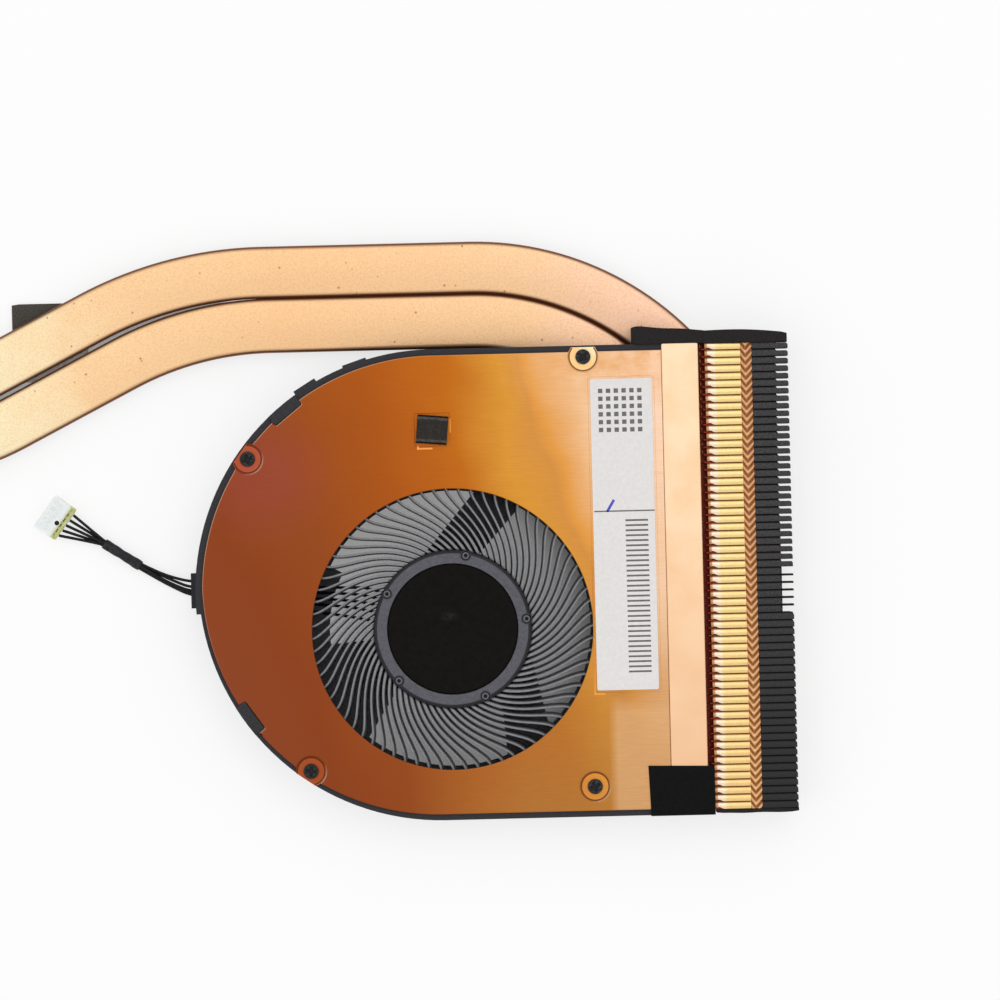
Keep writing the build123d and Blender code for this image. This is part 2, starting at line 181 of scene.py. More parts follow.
# Rotor
tip_radius = 26.4
tip_fade = 1.2
tip_drop = 0.5
hub_radius = 12.4
hub_edge = 12.6
hub_rounding = 0.5
hub_chamfer = 0.1
hub_steps = 144
rotor_bottom = 1.5
rotor_top = 7.0
blade_count = 71
blade_thickness = 0.3
blade_slant = 4.0
blade_turn_length = 10.45
blade_turn_power = 3.7
blade_phase = 2.9
blade_samples = 26
blade_lean = 0.28
blade_probe = 0.1
blade_edge = [(-1.0, 0.16), (-0.7, 0.04), (0.0, 0.0), (0.7, 0.04), (1.0, 0.16)]
root_sink = 0.05
root_swell = 0.5
root_reach = 4.0
root_fade = 0.8
root_drop = 0.35
cup_radius = 10.4
cup_top = 6.9
cup_bottom = 2.1
cup_wall = 0.4
cup_rounding = 0.35
cup_gap = 0.02
cup_dent = 0.03
dent_radius = 0.75
dent_slope = 0.1
dimple_count = 5
dimple_angle = 6.6
dimple_ring = 11.85
dimple_radius = 0.84
dimple_groove = 0.72
dimple_gap = 0.17
dimple_rise = 0.12
dimple_hole = 0.27
dimple_depth = 0.6
dimple_foot = 1.5

# Heat pipes, and the band along the gap between them
pipe_low = 0.8
pipe_high = 3.0
pipe_step = 8.5
inner_width = 8.7
outer_width = 8.3
pipe_round = 0.8
bend_center = (4.0, 13.0)
inner_bend = 36.0
inner_level = 30.0
inner_corners = (-78.0, -40.5)
first_bend = 40.0
inner_second_bend = 52.0
outer_corner_shift = 3.2
pipe_plate_end = -124.0
pipe_fin_end = -27.0
pipe_taper = 5.0
crimp_width = 0.72
crimp_height = 0.45
bend_spacing = 1.5
bend_least_steps = 6
run_spacing = 2.0
# The band along the gap carries the floor's painted shadow and the support foam's pale grey.
gap_slope = 0.45
gap_start = 71.2
gap_ends = (-84.0, -35.0)
gap_reach = 2.8
gap_blur = 0.4

# Fin stack
fin_count = 62
fin_pitch = 1.195
fin_thickness = 0.2
fin_sides = (40.25, 54.25)
fin_inset = 0.05
flange_start = 41.0
flange_end = 46.6
flange_overlap = 0.05
flange_width = 0.98
flange_reach = fin_pitch + 0.02
flange_fronts = [(0.0, 0.22), (0.25, 0.2), (0.5, 0.3), (0.8, 0.24), (1.1, 0.08), (1.4, 0.0)]
slit_flange = 0.86
chevron_apex = 47.45
chevron_end = 48.45
chevron_drop = 1.1
chevron_relief = 0.16
chevron_depth = 0.4
chevron_samples = 10
chevron_inset = 0.02
chevron_top_inset = 0.1
black_start = 48.5
pinhole_sides = (51.1, 51.32)
slit_start = 52.4
notch_sides = (1.43, 8.46)
notch_start = 52.4
web_low = 3.02
web_high = 7.55
web_middle = 0.09
web_thickness = 0.16
web_inset = 0.3
foot_start = 39.75
foot_height = 0.18
foot_gap = 0.02
foot_short = 0.4
tick_count = 16
tick_height = 7.3
tick_width = 0.16
tick_shift = 0.02
tick_lengths = (0.25, 0.55)
spoke_width = 0.3
spoke_shift = 0.1

# Cold plate and spring bar
plate_center = (-108.0, 34.25)
plate_size = (28.0, 30.5)
plate_height = 0.8
bar_size = (8.0, 51.0)
bar_sides = (3.0, 3.8)
bar_hole_spacing = 44.0
bar_hole_radius = 1.2

# Lead wires, sleeve and plug
wire_count = 5
wire_radius = 0.23
bundle_order = [1, 2, 0, 3, 4]
bundle_slack = 1.02
sleeve_start = Vector((-55.4, 14.9, 0.95))
sleeve_end = Vector((-49.7, 11.15, 0.95))
sleeve_lead = 0.6
sleeve_bore = 0.72
sleeve_skin = 0.07
sleeve_waves = [(0.04, 9), (0.03, 23)]
gate_rows = [5.75, 6.1, 6.45, 7.05, 8.2]
open_rows = [8.0, 8.15, 8.35, 9.0, 9.35]
open_x = -45.3
board_x = -8.684
board_wire_y = 2.6
board_wire_pitch = 0.9
fan_rows = [(-12.1, [1.3, 2.93, 4.19, 5.42, 6.88]), (-18.7, [2.74, 4.17, 5.12, 6.12, 6.87])]
wire_level = 0.63
plug_center = (-63.1, 19.2)
plug_turn = -37.0
plug_size = (4.0, 6.0)
plug_height = 2.3
plug_pitch = 1.0
plug_corner = 0.25
plug_floor = 0.55
plug_roof = 1.45
roof_short = 0.7
wall_levels = (0.5, 1.5)
wall_short = 0.1
side_wall = 0.5
inner_wall = 0.2
window_x = -0.75
window_size = (1.3, 0.42)
window_depth = 0.2
ledge_x = 1.75
ledge_size = (0.45, 5.0)
ledge_top = 1.85
plug_dot_place = (0.75, -0.5)
plug_dot_radius = 0.38
cavity_level = 1.0
wire_gap = 0.1

# Places that follow from the sizes above
upper_radius = housing_top - upper_level
lower_radius = housing_bottom + lower_level
upper_center = (upper_radius - housing_left, upper_level)
lower_center = (lower_radius - housing_lower_left, lower_level)
cover_upper = cover_top - upper_level
cover_lower = cover_bottom + lower_level
cover_upper_center = (cover_upper - cover_left, upper_level)
cover_lower_center = (cover_lower - cover_left, lower_level)
fin_low_y = housing_top - fin_count * fin_pitch


# Plan curves

def shares(steps):
    """Even shares from 0 to 1, both ends included."""
    return [step / steps for step in range(steps + 1)]


def between(ends, share):
    return ends[0] + (ends[1] - ends[0]) * share


def polar_point(center, radius, angle):
    """The point at a distance and an angle in radians from a centre."""
    return (center[0] + radius * math.cos(angle), center[1] + radius * math.sin(angle))


def arc(center, radius, start, end, steps):
    """Points along an arc between two angles in degrees, both ends included."""
    angles = [math.radians(between((start, end), share)) for share in shares(steps)]
    return [polar_point(center, radius, angle) for angle in angles]


def circle(center, radius, steps=48):
    return arc(center, radius, 0, 360, steps)[:-1]


def placed(points, center, turn):
    """Points turned about the origin in degrees and moved."""
    cos = math.cos(math.radians(turn))
    sin = math.sin(math.radians(turn))
    return [(center[0] + x * cos - y * sin, center[1] + x * sin + y * cos) for x, y in points]


def rectangle(center, size, turn=0.0, corner=0.0, steps=4):
    """A rectangle about its centre, turned in degrees, with rounded corners."""
    half_x = size[0] / 2 - corner
    half_y = size[1] / 2 - corner
    points = []
    for index, (sx, sy) in enumerate([(1, 1), (-1, 1), (-1, -1), (1, -1)]):
        middle = (sx * half_x, sy * half_y)
        points += arc(middle, corner, 90 * index, 90 * index + 90, steps) if corner else [middle]
    return placed(points, center, turn)


def turned_left(loop):
    """The loop in counter-clockwise order."""
    area = sum(a[0] * b[1] - b[0] * a[1] for a, b in zip(loop, loop[1:] + loop[:1]))
    return list(loop) if area > 0 else list(loop)[::-1]


def shifted(loop, distance):
    """The loop moved to its left by a distance, corner by corner."""
    moved = []
    for before, point, after in zip(loop[-1:] + loop[:-1], loop, loop[1:] + loop[:1]):
        first = (Vector(point) - Vector(before)).normalized()
        second = (Vector(after) - Vector(point)).normalized()
        normal = Vector((-first.y - second.y, first.x + second.x))
        normal *= distance / max(1 + first.dot(second), 0.5)
        moved.append((point[0] + normal.x, point[1] + normal.y))
    return moved


class Form:
    """A mesh in the making: points in millimetres and faces."""

    def __init__(self):
        self.points = []
        self.faces = []
        self.flat = set()

    def add(self, points):
        first = len(self.points)
        self.points.extend(points)
        return list(range(first, len(self.points)))

    def skin(self, rows):
        """Quads between closed rows of point numbers."""
        for low, high in zip(rows, rows[1:]):
            for index in range(len(low)):
                after = (index + 1) % len(low)
                self.faces.append((low[index], low[after], high[after], high[index]))

    def loft(self, rings, closed=True):
        """A skin over closed rings of points, with its ends shut."""
        rows = [self.add(ring) for ring in rings]
        self.skin(rows)
        if closed:
            for cap in (rows[0][::-1], rows[-1]):
                self.flat.add(len(self.faces))
                self.faces.append(tuple(cap))
        return self

    def fill(self, rows):
        """Triangles over an outline and its holes, given as rows of point numbers."""
        loops = [[Vector(self.points[number]) for number in row] for row in rows]
        numbers = [number for row in rows for number in row]
        for triangle in tessellate_polygon(loops):
            self.flat.add(len(self.faces))
            self.faces.append(tuple(numbers[corner] for corner in triangle))

    def plate(self, loops, low, high, bevel=0.06, steps=2, pockets=()):
        """A sheet with rounded edges. The first loop is its outline, the others are holes.
        A pocket is a loop and a depth, sunk into the top."""
        tops = []
        bottoms = []
        for index, loop in enumerate(loops):
            loop = turned_left(loop)
            loop = loop if index == 0 else loop[::-1]
            rows = []
            for level, side in ((low, 1), (high, -1)):
                for share in shares(steps)[::side]:
                    angle = math.pi / 2 * share
                    inset = bevel * (1 - math.sin(angle))
                    rise = level + side * bevel * (1 - math.cos(angle))
                    rows.append(self.add([(x, y, rise) for x, y in shifted(loop, inset)]))
            self.skin(rows)
            bottoms.append(rows[0])
            tops.append(rows[-1])
        for loop, depth in pockets:
            loop = turned_left(loop)[::-1]
            edge = min(bevel, depth / 2)
            rows = []
            for inset, sink in ((edge, 0), (0, edge), (0, depth)):
                rows.append(self.add([(x, y, high - sink) for x, y in shifted(loop, inset)]))
            self.skin(rows)
            self.fill([rows[-1]])
            tops.append(rows[0])
        self.fill(bottoms)
        self.fill(tops)
        return self

    def turn(self, profile, steps=96, center=(0.0, 0.0)):
        """A closed profile of (radius, height) points turned about an upright axis."""
        rows = []
        for share in shares(steps)[:-1]:
            angle = 2 * math.pi * share
            rows.append(self.add([(*polar_point(center, r, angle), z) for r, z in profile]))
        self.skin(rows + rows[:1])
        return self

    def sweep(self, section, route, sizes):
        """A closed section of (across, up) points carried along a route in the plan."""
        rings = []
        for index, (point, (wide, tall)) in enumerate(zip(route, sizes)):
            before = Vector(route[max(index - 1, 0)][:2])
            after = Vector(route[min(index + 1, len(route) - 1)][:2])
            along = (after - before).normalized()
            ring = []
            for across, up in section:
                x = point[0] - along.y * across * wide
                y = point[1] + along.x * across * wide
                ring.append((x, y, point[2] + up * tall))
            rings.append(ring)
        return self.loft(rings)

    def moved(self, center, turn):
        """Everything so far, turned about the origin in degrees and moved in the plan."""
        flat = placed([(x, y) for x, y, z in self.points], center, turn)
        self.points = [(x, y, point[2]) for (x, y), point in zip(flat, self.points)]
        return self


def add_object(name, data):
    made = bpy.data.objects.new(name, data)
    bpy.context.collection.objects.link(made)
    return made


def piece(name, form, look, node, body="base"):
    """The form as an object that rides on a body and stands for a CAD node."""
    mesh = bpy.data.meshes.new(name)
    mesh.from_pydata([(x * MM, y * MM, z * MM) for x, y, z in form.points], [], form.faces)
    work = bmesh.new()
    work.from_mesh(mesh)
    for number, face in enumerate(work.faces):
        face.smooth = number not in form.flat
    bmesh.ops.remove_doubles(work, verts=work.verts, dist=merge_distance * MM)
    bmesh.ops.recalc_face_normals(work, faces=work.faces)
    rounded = [face.smooth for face in work.faces]
    work.to_mesh(mesh)
    work.free()
    mesh.set_sharp_from_angle(angle=math.radians(crease_angle))
    mesh.polygons.foreach_set("use_smooth", rounded)
    mesh.materials.append(look.material)
    made = add_object(name, mesh)
    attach(made, body)
    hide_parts(node)
    return made


# Materials: a colour is three values up to 255, as a screen shows it

def linear(color):
    """A screen colour in the renderer's linear values."""
    values = []
    for value in color:
        share = value / 255
        values.append(share / 12.92 if share <= 0.04045 else ((share + 0.055) / 1.055) ** 2.4)
    return (*values, 1.0)


class Field:
    """A value that varies over a surface. Arithmetic with it adds nodes to its look."""

    def __init__(self, look, socket):
        self.look = look
        self.socket = socket

    def __add__(self, other):
        return self.look.math("ADD", self, other)

    def __sub__(self, other):
        return self.look.math("SUBTRACT", self, other)

    def __mul__(self, other):
        return self.look.math("MULTIPLY", self, other)

    def __abs__(self):
        return self.look.math("ABSOLUTE", self)

    def span(self, low, high, to_low=0.0, to_high=1.0):
        """The field carried from one range to another and held at its ends."""
        ends = {"From Min": low, "From Max": high, "To Min": to_low, "To Max": to_high}
        return self.look.add("MapRange", {"Value": self, **ends})

    def hump(self, rise, fall):
        """A field that rises to one over a range and falls to zero over another."""
        return self.look.math("MINIMUM", self.span(*rise), self.span(*fall[::-1]))

    def within(self, low, high, blur=0.06):
        """One between two places, with soft edges."""
        return self.hump((low - blur, low + blur), (high - blur, high + blur))


class Look:
    """A procedural material whose textures are placed in millimetres."""

    def __init__(self, name, rough, metal=0.0, shine=0.5):
        self.material = bpy.data.materials.new(name)
        self.material.use_nodes = True
        self.nodes = self.material.node_tree.nodes
        self.shader = self.nodes["Principled BSDF"]
        self.set("Roughness", rough)
        self.set("Metallic", metal)
        self.set("Specular IOR Level", shine)
        self.place = self.scaled(self.add("TexCoord", {}, "Object"), (1 / MM, 1 / MM, 1 / MM))

    def set(self, name, value):
        """A value on the shader, or a link to it."""
        self.give(self.shader.inputs[name], value)

    def give(self, socket, value):
        if isinstance(value, Field):
            self.material.node_tree.links.new(value.socket, socket)
        elif socket.type == "RGBA" and len(value) == 3:
            socket.default_value = linear(value)
        else:
            socket.default_value = value

    def add(self, kind, inputs, output=0, **settings):
        """A new node with its settings and inputs. Gives one of its outputs."""
        node = self.nodes.new("ShaderNode" + kind)
        for name, value in settings.items():
            setattr(node, name, value)
        for key, value in inputs.items():
            self.give(node.inputs[key], value)
        return Field(self, node.outputs[output])

    def math(self, operation, first, second=0.0):
        return self.add("Math", {0: first, 1: second}, operation=operation)

    def scaled(self, vector, factors):
        return self.add("VectorMath", {0: vector, 1: factors}, operation="MULTIPLY")

    def axis(self, name):
        return self.add("SeparateXYZ", {0: self.place}, name)

    def noise(self, scale, detail=3.0, stretch=(1, 1, 1)):
        place = self.scaled(self.place, stretch)
        return self.add("TexNoise", {"Vector": place, "Scale": scale, "Detail": detail})

    def cells(self, scale):
        return self.add("TexVoronoi", {"Vector": self.place, "Scale": scale}, "Distance")

    def ramp(self, value, stops):
        node = self.nodes.new("ShaderNodeValToRGB")
        marks = node.color_ramp.elements
        while len(marks) < len(stops):
            marks.new(0.5)
        for mark, (share, color) in zip(marks, stops):
            mark.position = share
            mark.color = linear(color)
        self.give(node.inputs[0], value)
        return Field(self, node.outputs[0])

    def mix(self, share, first, second, mode="MIX"):
        settings = {"data_type": "RGBA", "blend_type": mode, "clamp_result": mode != "MIX"}
        return self.add("Mix", {0: share, 6: first, 7: second}, 2, **settings)

    def reach(self, across, up):
        """The length of a plan vector given by its two parts."""
        return self.math("SQRT", across * across + up * up)

    def facing(self, direction):
        """How far the surface faces a direction, from -1 to 1."""
        normal = self.add("NewGeometry", {}, "Normal")
        way = Vector(direction).normalized()
        return self.add("VectorMath", {0: normal, 1: way}, "Value", operation="DOT_PRODUCT")

    def grained(self, scale, dark, light):
        """A fine grain, and a tone that it carries from dark to light."""
        grain = self.noise(scale, 4.0)
        return grain, self.mix(grain.span(0.35, 0.7), dark, light)

    def done(self, tone, relief, depth, strength=0.5):
        """The look with its colour and its relief, whose depth is in millimetres."""
        self.set("Base Color", tone)
        bump = {"Height": relief, "Strength": strength, "Distance": depth * MM}
        self.set("Normal", self.add("Bump", bump))
        return self


def cover_look():
    """Copper-coloured sheet with a painted reflection that runs reddish at the left, orange above and pale
    towards the outlet, painted highlights on its edge bevels, pocket edges and seat floors, and painted
    shade on the seat walls.
    """
    look = Look("cover_copper", 0.42, 0.55, 0.15)
    x, y, z = map(look.axis, "XYZ")
    cloud = look.noise(0.05, 2.0).span(0.3, 0.7, -3.0, 3.0)
    # Painted reflection: the tone ramps from reddish at the left to pale at the right, as the reflection
    # of the surroundings runs across the sheet.
    tone = look.ramp((x + y * 0.35 + cloud).span(-40, 45), [
        (0.0, (143, 69, 38)), (0.14, (143, 66, 27)), (0.27, (152, 74, 28)), (0.47, (174, 86, 20)),
        (0.54, (184, 95, 22)), (0.62, (195, 108, 22)), (0.72, (222, 153, 55)), (0.77, (217, 147, 68)),
        (0.79, (231, 158, 71)), (0.88, (246, 202, 158)), (1.0, (254, 215, 184)),
    ])
    lower = y.span(6.0, -28.0, 0.0, 0.8) * x.span(-8.0, 12.0)
    tone = look.mix(lower, tone, (184, 124, 58))
    corner = y.span(-11.0, -14.0, 0.0, 0.5) * x.span(24.4, 25.8)
    tone = look.mix(corner, tone, (236, 190, 142))
    upper = y.span(34.0, 41.0, 0.0, 0.75) * x.span(8.0, 18.0)
    blotch = look.noise(0.35).span(0.35, 0.6, 0.3, 1.0)
    tone = look.mix(upper * blotch, tone, (236, 172, 104))
    aside = look.reach(x - pink_center[0], y - pink_center[1])
    tone = look.mix(aside.span(3.0, pink_reach, 0.5, 0.0), tone, (160, 72, 62))
    brushed = look.noise(1.2, 4.0, (0.35, 9.0, 1.0))
    tone = look.mix(brushed.span(0.3, 0.7, 0.0, 0.12), tone, (120, 60, 20))
    # Painted highlights along the pocket edges.
    for low_x, high_x, low_y, high_y in pocket_edge_highlights:
        pocket_highlight = x.within(low_x, high_x) * y.within(low_y, high_y)
        tone = look.mix(pocket_highlight * 0.85, tone, (254, 172, 90))
    # Painted highlight: the sunk seat floors are painted lighter than the sheet around them.
    sunk = z.hump((cover_under, seat_floor), (seat_floor, seat_floor + 0.02))
    tone = look.mix(sunk, tone, (1.45, 1.45, 1.45, 1.0), "MULTIPLY")
    # Painted shade on the sloping seat walls.
    wall = z.hump((seat_floor + 0.015, seat_floor + 0.035), (seat_floor + 0.17, seat_floor + 0.185))
    tone = look.mix(wall * 0.75, tone, (100, 42, 16))
    # Painted highlight on the edge bevels that face the upper left, stronger away from the inlet.
    lit = look.facing((-0.55, 0.45, 0.7)).span(0.75, 0.95) * z.span(7.83, 7.87)
    away = look.reach(x, y).span(23.0, 26.0, 0.1, 0.85)
    pale = look.mix(0.5, tone, (255, 214, 184))
    look.set("Roughness", brushed.span(0.3, 0.7, 0.36, 0.48))
    return look.done(look.mix(lit * away, tone, pale), brushed, 0.01)


def pipe_look():
    """Pale copper with painted shade in brown on its rounded edges, a fine grain and a few dark specks."""
    look = Look("pipe_copper", 0.38, 0.55, 0.15)
    x = look.axis("X")
    cloud = look.noise(0.12).span(0.3, 0.7, -4.0, 4.0)
    tone = look.ramp((x + cloud).span(-80.0, 40.0), [
        (0.0, (250, 206, 156)), (0.08, (255, 238, 196)), (0.2, (252, 212, 162)),
        (0.45, (248, 202, 151)), (0.75, (248, 204, 156)), (0.92, (247, 203, 172)),
    ])
    grain = look.noise(3.4)
    tone = look.mix(grain.span(0.42, 0.74, 0.0, 0.28), tone, (204, 138, 92))
    # Painted shade: the rounded edges that turn away from the top are painted brown.
    edge = look.facing(UP).span(0.76, 0.997, 0.95, 0.0)
    tone = look.mix(edge, tone, (112, 62, 36))
    specks = look.cells(0.5).span(0.0, 0.12, 1.0, 0.0) * look.noise(0.3, 1.0).span(0.46, 0.54)
    look.set("Roughness", grain.span(0.3, 0.7, 0.32, 0.46))
    return look.done(look.mix(specks, tone, (96, 54, 32)), grain, 0.01, 0.4)


def strip_look():
    """Copper foil with a slight crinkle, duller towards its lower end."""
    look = Look("strip_copper", 0.36, 0.55, 0.2)
    y = look.axis("Y")
    wave = look.noise(0.22)
    tone = look.mix(wave.span(0.3, 0.7), (250, 208, 164), (255, 222, 184))
    tone = look.mix(y.span(24.0, -26.0, 0.0, 0.7), tone, (241, 187, 142))
    return look.done(tone, wave, 0.05)


def fin_look():
    """Fin sheet: cream at the front edge, partly as a painted highlight, golden further in, with painted
    shade in the lines between the flanges and on all that lies below their tops.
    """
    look = Look("fin_copper", 0.33, 0.55, 0.2)
    x, y, z = map(look.axis, "XYZ")
    along = x.span(40.0, 50.0)
    # The cream band behind the front edge is partly a painted highlight, and the darker stops just ahead
    # of it are painted shade at the flange fronts.
    tone = look.ramp(along, [
        (0.0, (236, 176, 150)), (0.1, (176, 124, 82)), (0.135, (206, 152, 106)), (0.15, (255, 236, 212)),
        (0.25, (255, 232, 196)), (0.29, (254, 225, 156)), (0.655, (252, 221, 150)),
        (0.67, (232, 178, 126)), (0.84, (232, 180, 130)), (0.86, (120, 66, 44)),
    ])
    lower = y.span(12.0, -24.0, 0.0, 0.55) * along.span(0.25, 0.32)
    tone = look.mix(lower, tone, (251, 204, 136))
    # Painted shade in the lines between the flanges, darker the lower the surface lies.
    seams = z.span(7.95, 7.72) * along.span(0.66, 0.665)
    tone = look.mix(seams, tone, (150, 92, 54))
    lip_shade = z.span(7.93, 7.8) * along.span(0.66, 0.655)
    tone = look.mix(lip_shade, tone, (140, 78, 30))
    # Painted shade on all that lies below the flange tops; the front ticks are left out of it.
    ticks = z.span(7.1, 7.2) * along.span(0.042, 0.045, 1.0, 0.0)
    deep_shade = z.span(7.57, 7.63, 1.0, 0.0) - ticks
    tone = look.mix(deep_shade, tone, (140, 44, 32))
    grain = look.noise(2.2)
    return look.done(look.mix(grain.span(0.3, 0.75, 0.0, 0.14), tone, (170, 110, 60)), grain, 0.01, 0.4)


def painted_look(name, dark, light, rough=0.55, scale=4.0, depth=0.02, shine=0.12):
    """Black paint, moulded plastic or tape with a fine grain."""
    look = Look(name, rough, shine=shine)
    grain, tone = look.grained(scale, dark, light)
    look.set("Roughness", grain.span(0.3, 0.7, rough - 0.08, rough + 0.08))
    return look.done(tone, grain, depth)


def foam_look(name, dark, light, pale_along_gap=False):
    """Black open foam with pores, painted pale grey in the band along the gap between the pipes."""
    look = Look(name, 0.9, shine=0.08)
    pores = look.cells(3.2)
    tone = look.mix(pores.span(0.05, 0.35), dark, light)
    # Pale grey along the gap between the pipes.
    if pale_along_gap:
        tone = look.mix(pipe_gap(look) * 0.95, tone, (226, 219, 213))
    return look.done(tone, pores, 0.12, 0.8)


def metal_look(name, dark, light, rough):
    """Bare metal with fine uneven lines."""
    look = Look(name, rough, 1.0)
    grain = look.noise(2.0, 4.0, (1.0, 0.3, 1.0))
    look.set("Roughness", grain.span(0.3, 0.7, rough - 0.07, rough + 0.07))
    return look.done(look.mix(grain.span(0.3, 0.7), dark, light), grain, 0.01, 0.4)


def paper_look():
    """White coated paper."""
    look = Look("label_white", 0.5)
    fibre = look.noise(1.6, 5.0)
    tone = look.mix(fibre.span(0.3, 0.7), (225, 222, 220), (233, 230, 228))
    return look.done(tone, fibre, 0.01, 0.4)


def nylon_look():
    """White nylon that has yellowed where the wires enter."""
    look = Look("plug_white", 0.42)
    x, y = map(look.axis, "XY")
    cloud = look.noise(0.9)
    tone = look.mix(cloud.span(0.4, 0.75), (251, 251, 248), (243, 243, 236))
    turn = math.radians(plug_turn)
    along = (x - plug_center[0]) * math.cos(turn) + (y - plug_center[1]) * math.sin(turn)
    edge = plug_size[0] / 2
    wet = along.span(edge - 1.2, edge - 0.6) * cloud.span(0.3, 0.5, 0.6, 1.0)
    look.set("Subsurface Weight", 0.15)
    return look.done(look.mix(wet, tone, (206, 208, 112)), look.noise(5.0, 2.0), 0.01, 0.4)


def coil_look():
    """Enamelled wire, wound turn by turn."""
    look = Look("coil_copper", 0.35, 0.8)
    turns = look.add("TexWave", {"Vector": look.place, "Scale": 1.6}, "Fac", bands_direction="Z")
    return look.done(look.mix(turns, (110, 50, 24), (196, 104, 52)), turns, 0.08, 0.8)


def board_look():
    """Green circuit board with a fine glass weave."""
    look = Look("board_green", 0.45)
    weave = look.cells(1.8)
    return look.done(look.mix(weave.span(0.1, 0.5), (18, 68, 38), (32, 98, 58)), weave, 0.02)


def hub_look():
    """Grey moulded hub with painted shade on its rolled edge, and five small ringed dimples with painted
    shade in their holes and grooves.
    """
    look = Look("impeller_grey", 0.45, shine=0.15)
    x, y = map(look.axis, "XY")
    radius = look.reach(x, y)
    grain, tone = look.grained(2.5, (84, 84, 90), (97, 97, 104))
    # Painted shade on the rolled outer edge.
    tone = look.mix(radius.span(hub_edge - 0.66, hub_edge - 0.5), tone, (40, 40, 44))
    step = 2 * math.pi / dimple_count
    turn = look.math("ARCTAN2", y, x) - math.radians(dimple_angle)
    turn = turn - look.math("ROUND", turn * (1 / step)) * step
    along = radius * look.math("COSINE", turn) - dimple_ring
    distance = look.reach(along, radius * look.math("SINE", turn))
    # Painted shade in each dimple's hole and round its groove.
    ringed = look.ramp(distance, [
        (0.0, (10, 10, 11)), (0.25, (12, 12, 13)), (0.34, (100, 100, 106)), (0.52, (100, 100, 106)),
        (0.6, (40, 40, 45)), (0.76, (40, 40, 45)), (0.86, (88, 88, 94)),
    ])
    return look.done(look.mix(distance.span(0.82, 0.9, 1.0, 0.0), tone, ringed), grain, 0.02)


def blade_look():
    """Grey moulded blades with painted shade at the root, and sides painted lighter as painted light
    against the shade they stand in.
    """
    look = Look("blade_grey", 0.45, shine=0.2)
    x, y = map(look.axis, "XY")
    grain, tone = look.grained(2.5, (128, 128, 131), (144, 144, 147))
    # Painted light: the faces that don't face up are painted a lighter grey to offset their shade.
    tone = look.mix(look.facing(UP).span(0.25, 0.75), (150, 150, 153), tone)
    # Painted shade where the blades meet the hub.
    root = look.reach(x, y).span(hub_edge - 0.05, hub_edge + 0.3, 1.0, 0.0)
    return look.done(look.mix(root, tone, (44, 44, 48)), grain, 0.01, 0.4)


def cup_look():
    """Black rotor disc with a faint pale smear near its middle."""
    look = Look("cup_black", 0.55, shine=0.06)
    x, y = map(look.axis, "XY")
    grain, tone = look.grained(1.2, (14, 13, 11), (20, 18, 15))
    smear = look.reach((x + 0.55) * 0.45, y - 2.05).span(0.1, 0.9, 0.75, 0.0)
    smear = smear * look.noise(1.6, 4.0).span(0.3, 0.7)
    return look.done(look.mix(smear, tone, (46, 47, 44)), grain, 0.02)


def upward_look(name, side, dark, light, scale):
    """Black plastic or painted sheet, its upward faces painted greyer as painted light."""
    look = Look(name, 0.5, shine=0.12)
    grain, tone = look.grained(scale, dark, light)
    # Painted light: upward faces get the lighter tone, the others the dark side colour.
    return look.done(look.mix(look.facing(UP).span(0.5, 0.9), side, tone), grain, 0.02)


def coated_look():
    """Black coating on the fins, with painted shade in the lines between their flanges."""
    look = Look("fin_black", 0.45, shine=0.12)
    y, z = map(look.axis, "YZ")
    grain, tone = look.grained(3.0, (54, 53, 54), (74, 72, 74))
    tone = look.mix(y.span(14.0, -22.0, 0.0, 0.8), tone, (42, 41, 42))
    # Painted shade in the lines between the flanges.
    return look.done(look.mix(z.span(7.94, 7.84), tone, (30, 29, 30)), grain, 0.02)


def pad_look():
    """Dark felt with a paler band and a dark line along its upper and lower sides."""
    look = Look("pad_dark", 0.85, shine=0.12)
    x, y = map(look.axis, "XY")
    grain, tone = look.grained(3.5, (42, 38, 36), (58, 53, 49))
    turn = math.radians(pad_turn)
    side = abs((y - pad_center[1]) * math.cos(turn) - (x - pad_center[0]) * math.sin(turn))
    edge = pad_size[1] / 2
    paler_band = side.span(edge - 0.75, edge - 0.6) * grain.span(0.35, 0.6, 0.3, 0.9)
    tone = look.mix(paler_band, tone, (86, 86, 84))
    return look.done(look.mix(side.span(edge - 0.34, edge - 0.22), tone, (20, 13, 11)), grain, 0.08)


def screw_look():
    """Blackened screw heads with grey flecks and painted shade in the cross recess."""
    look = Look("screw_black", 0.35, shine=0.3)
    z = look.axis("Z")
    grain = look.noise(2.6)
    tone = look.mix(grain.span(0.5, 0.68), (17, 17, 18), (56, 56, 58))
    # Painted shade in the cross recess.
    low = seat_floor + screw_head_height - cross_depth
    return look.done(look.mix(z.span(low + 0.1, low + 0.02), tone, (6, 6, 6)), grain, 0.02)


def pipe_gap(look):
    """One in a band along the gap between the pipes, which the pipes hide all but the gap of."""
    x, y = map(look.axis, "XY")
    lift = abs(y - x * gap_slope - gap_start)
    return lift.span(gap_reach - gap_blur, gap_reach + gap_blur, 1.0, 0.0) * x.within(*gap_ends, 1.0)


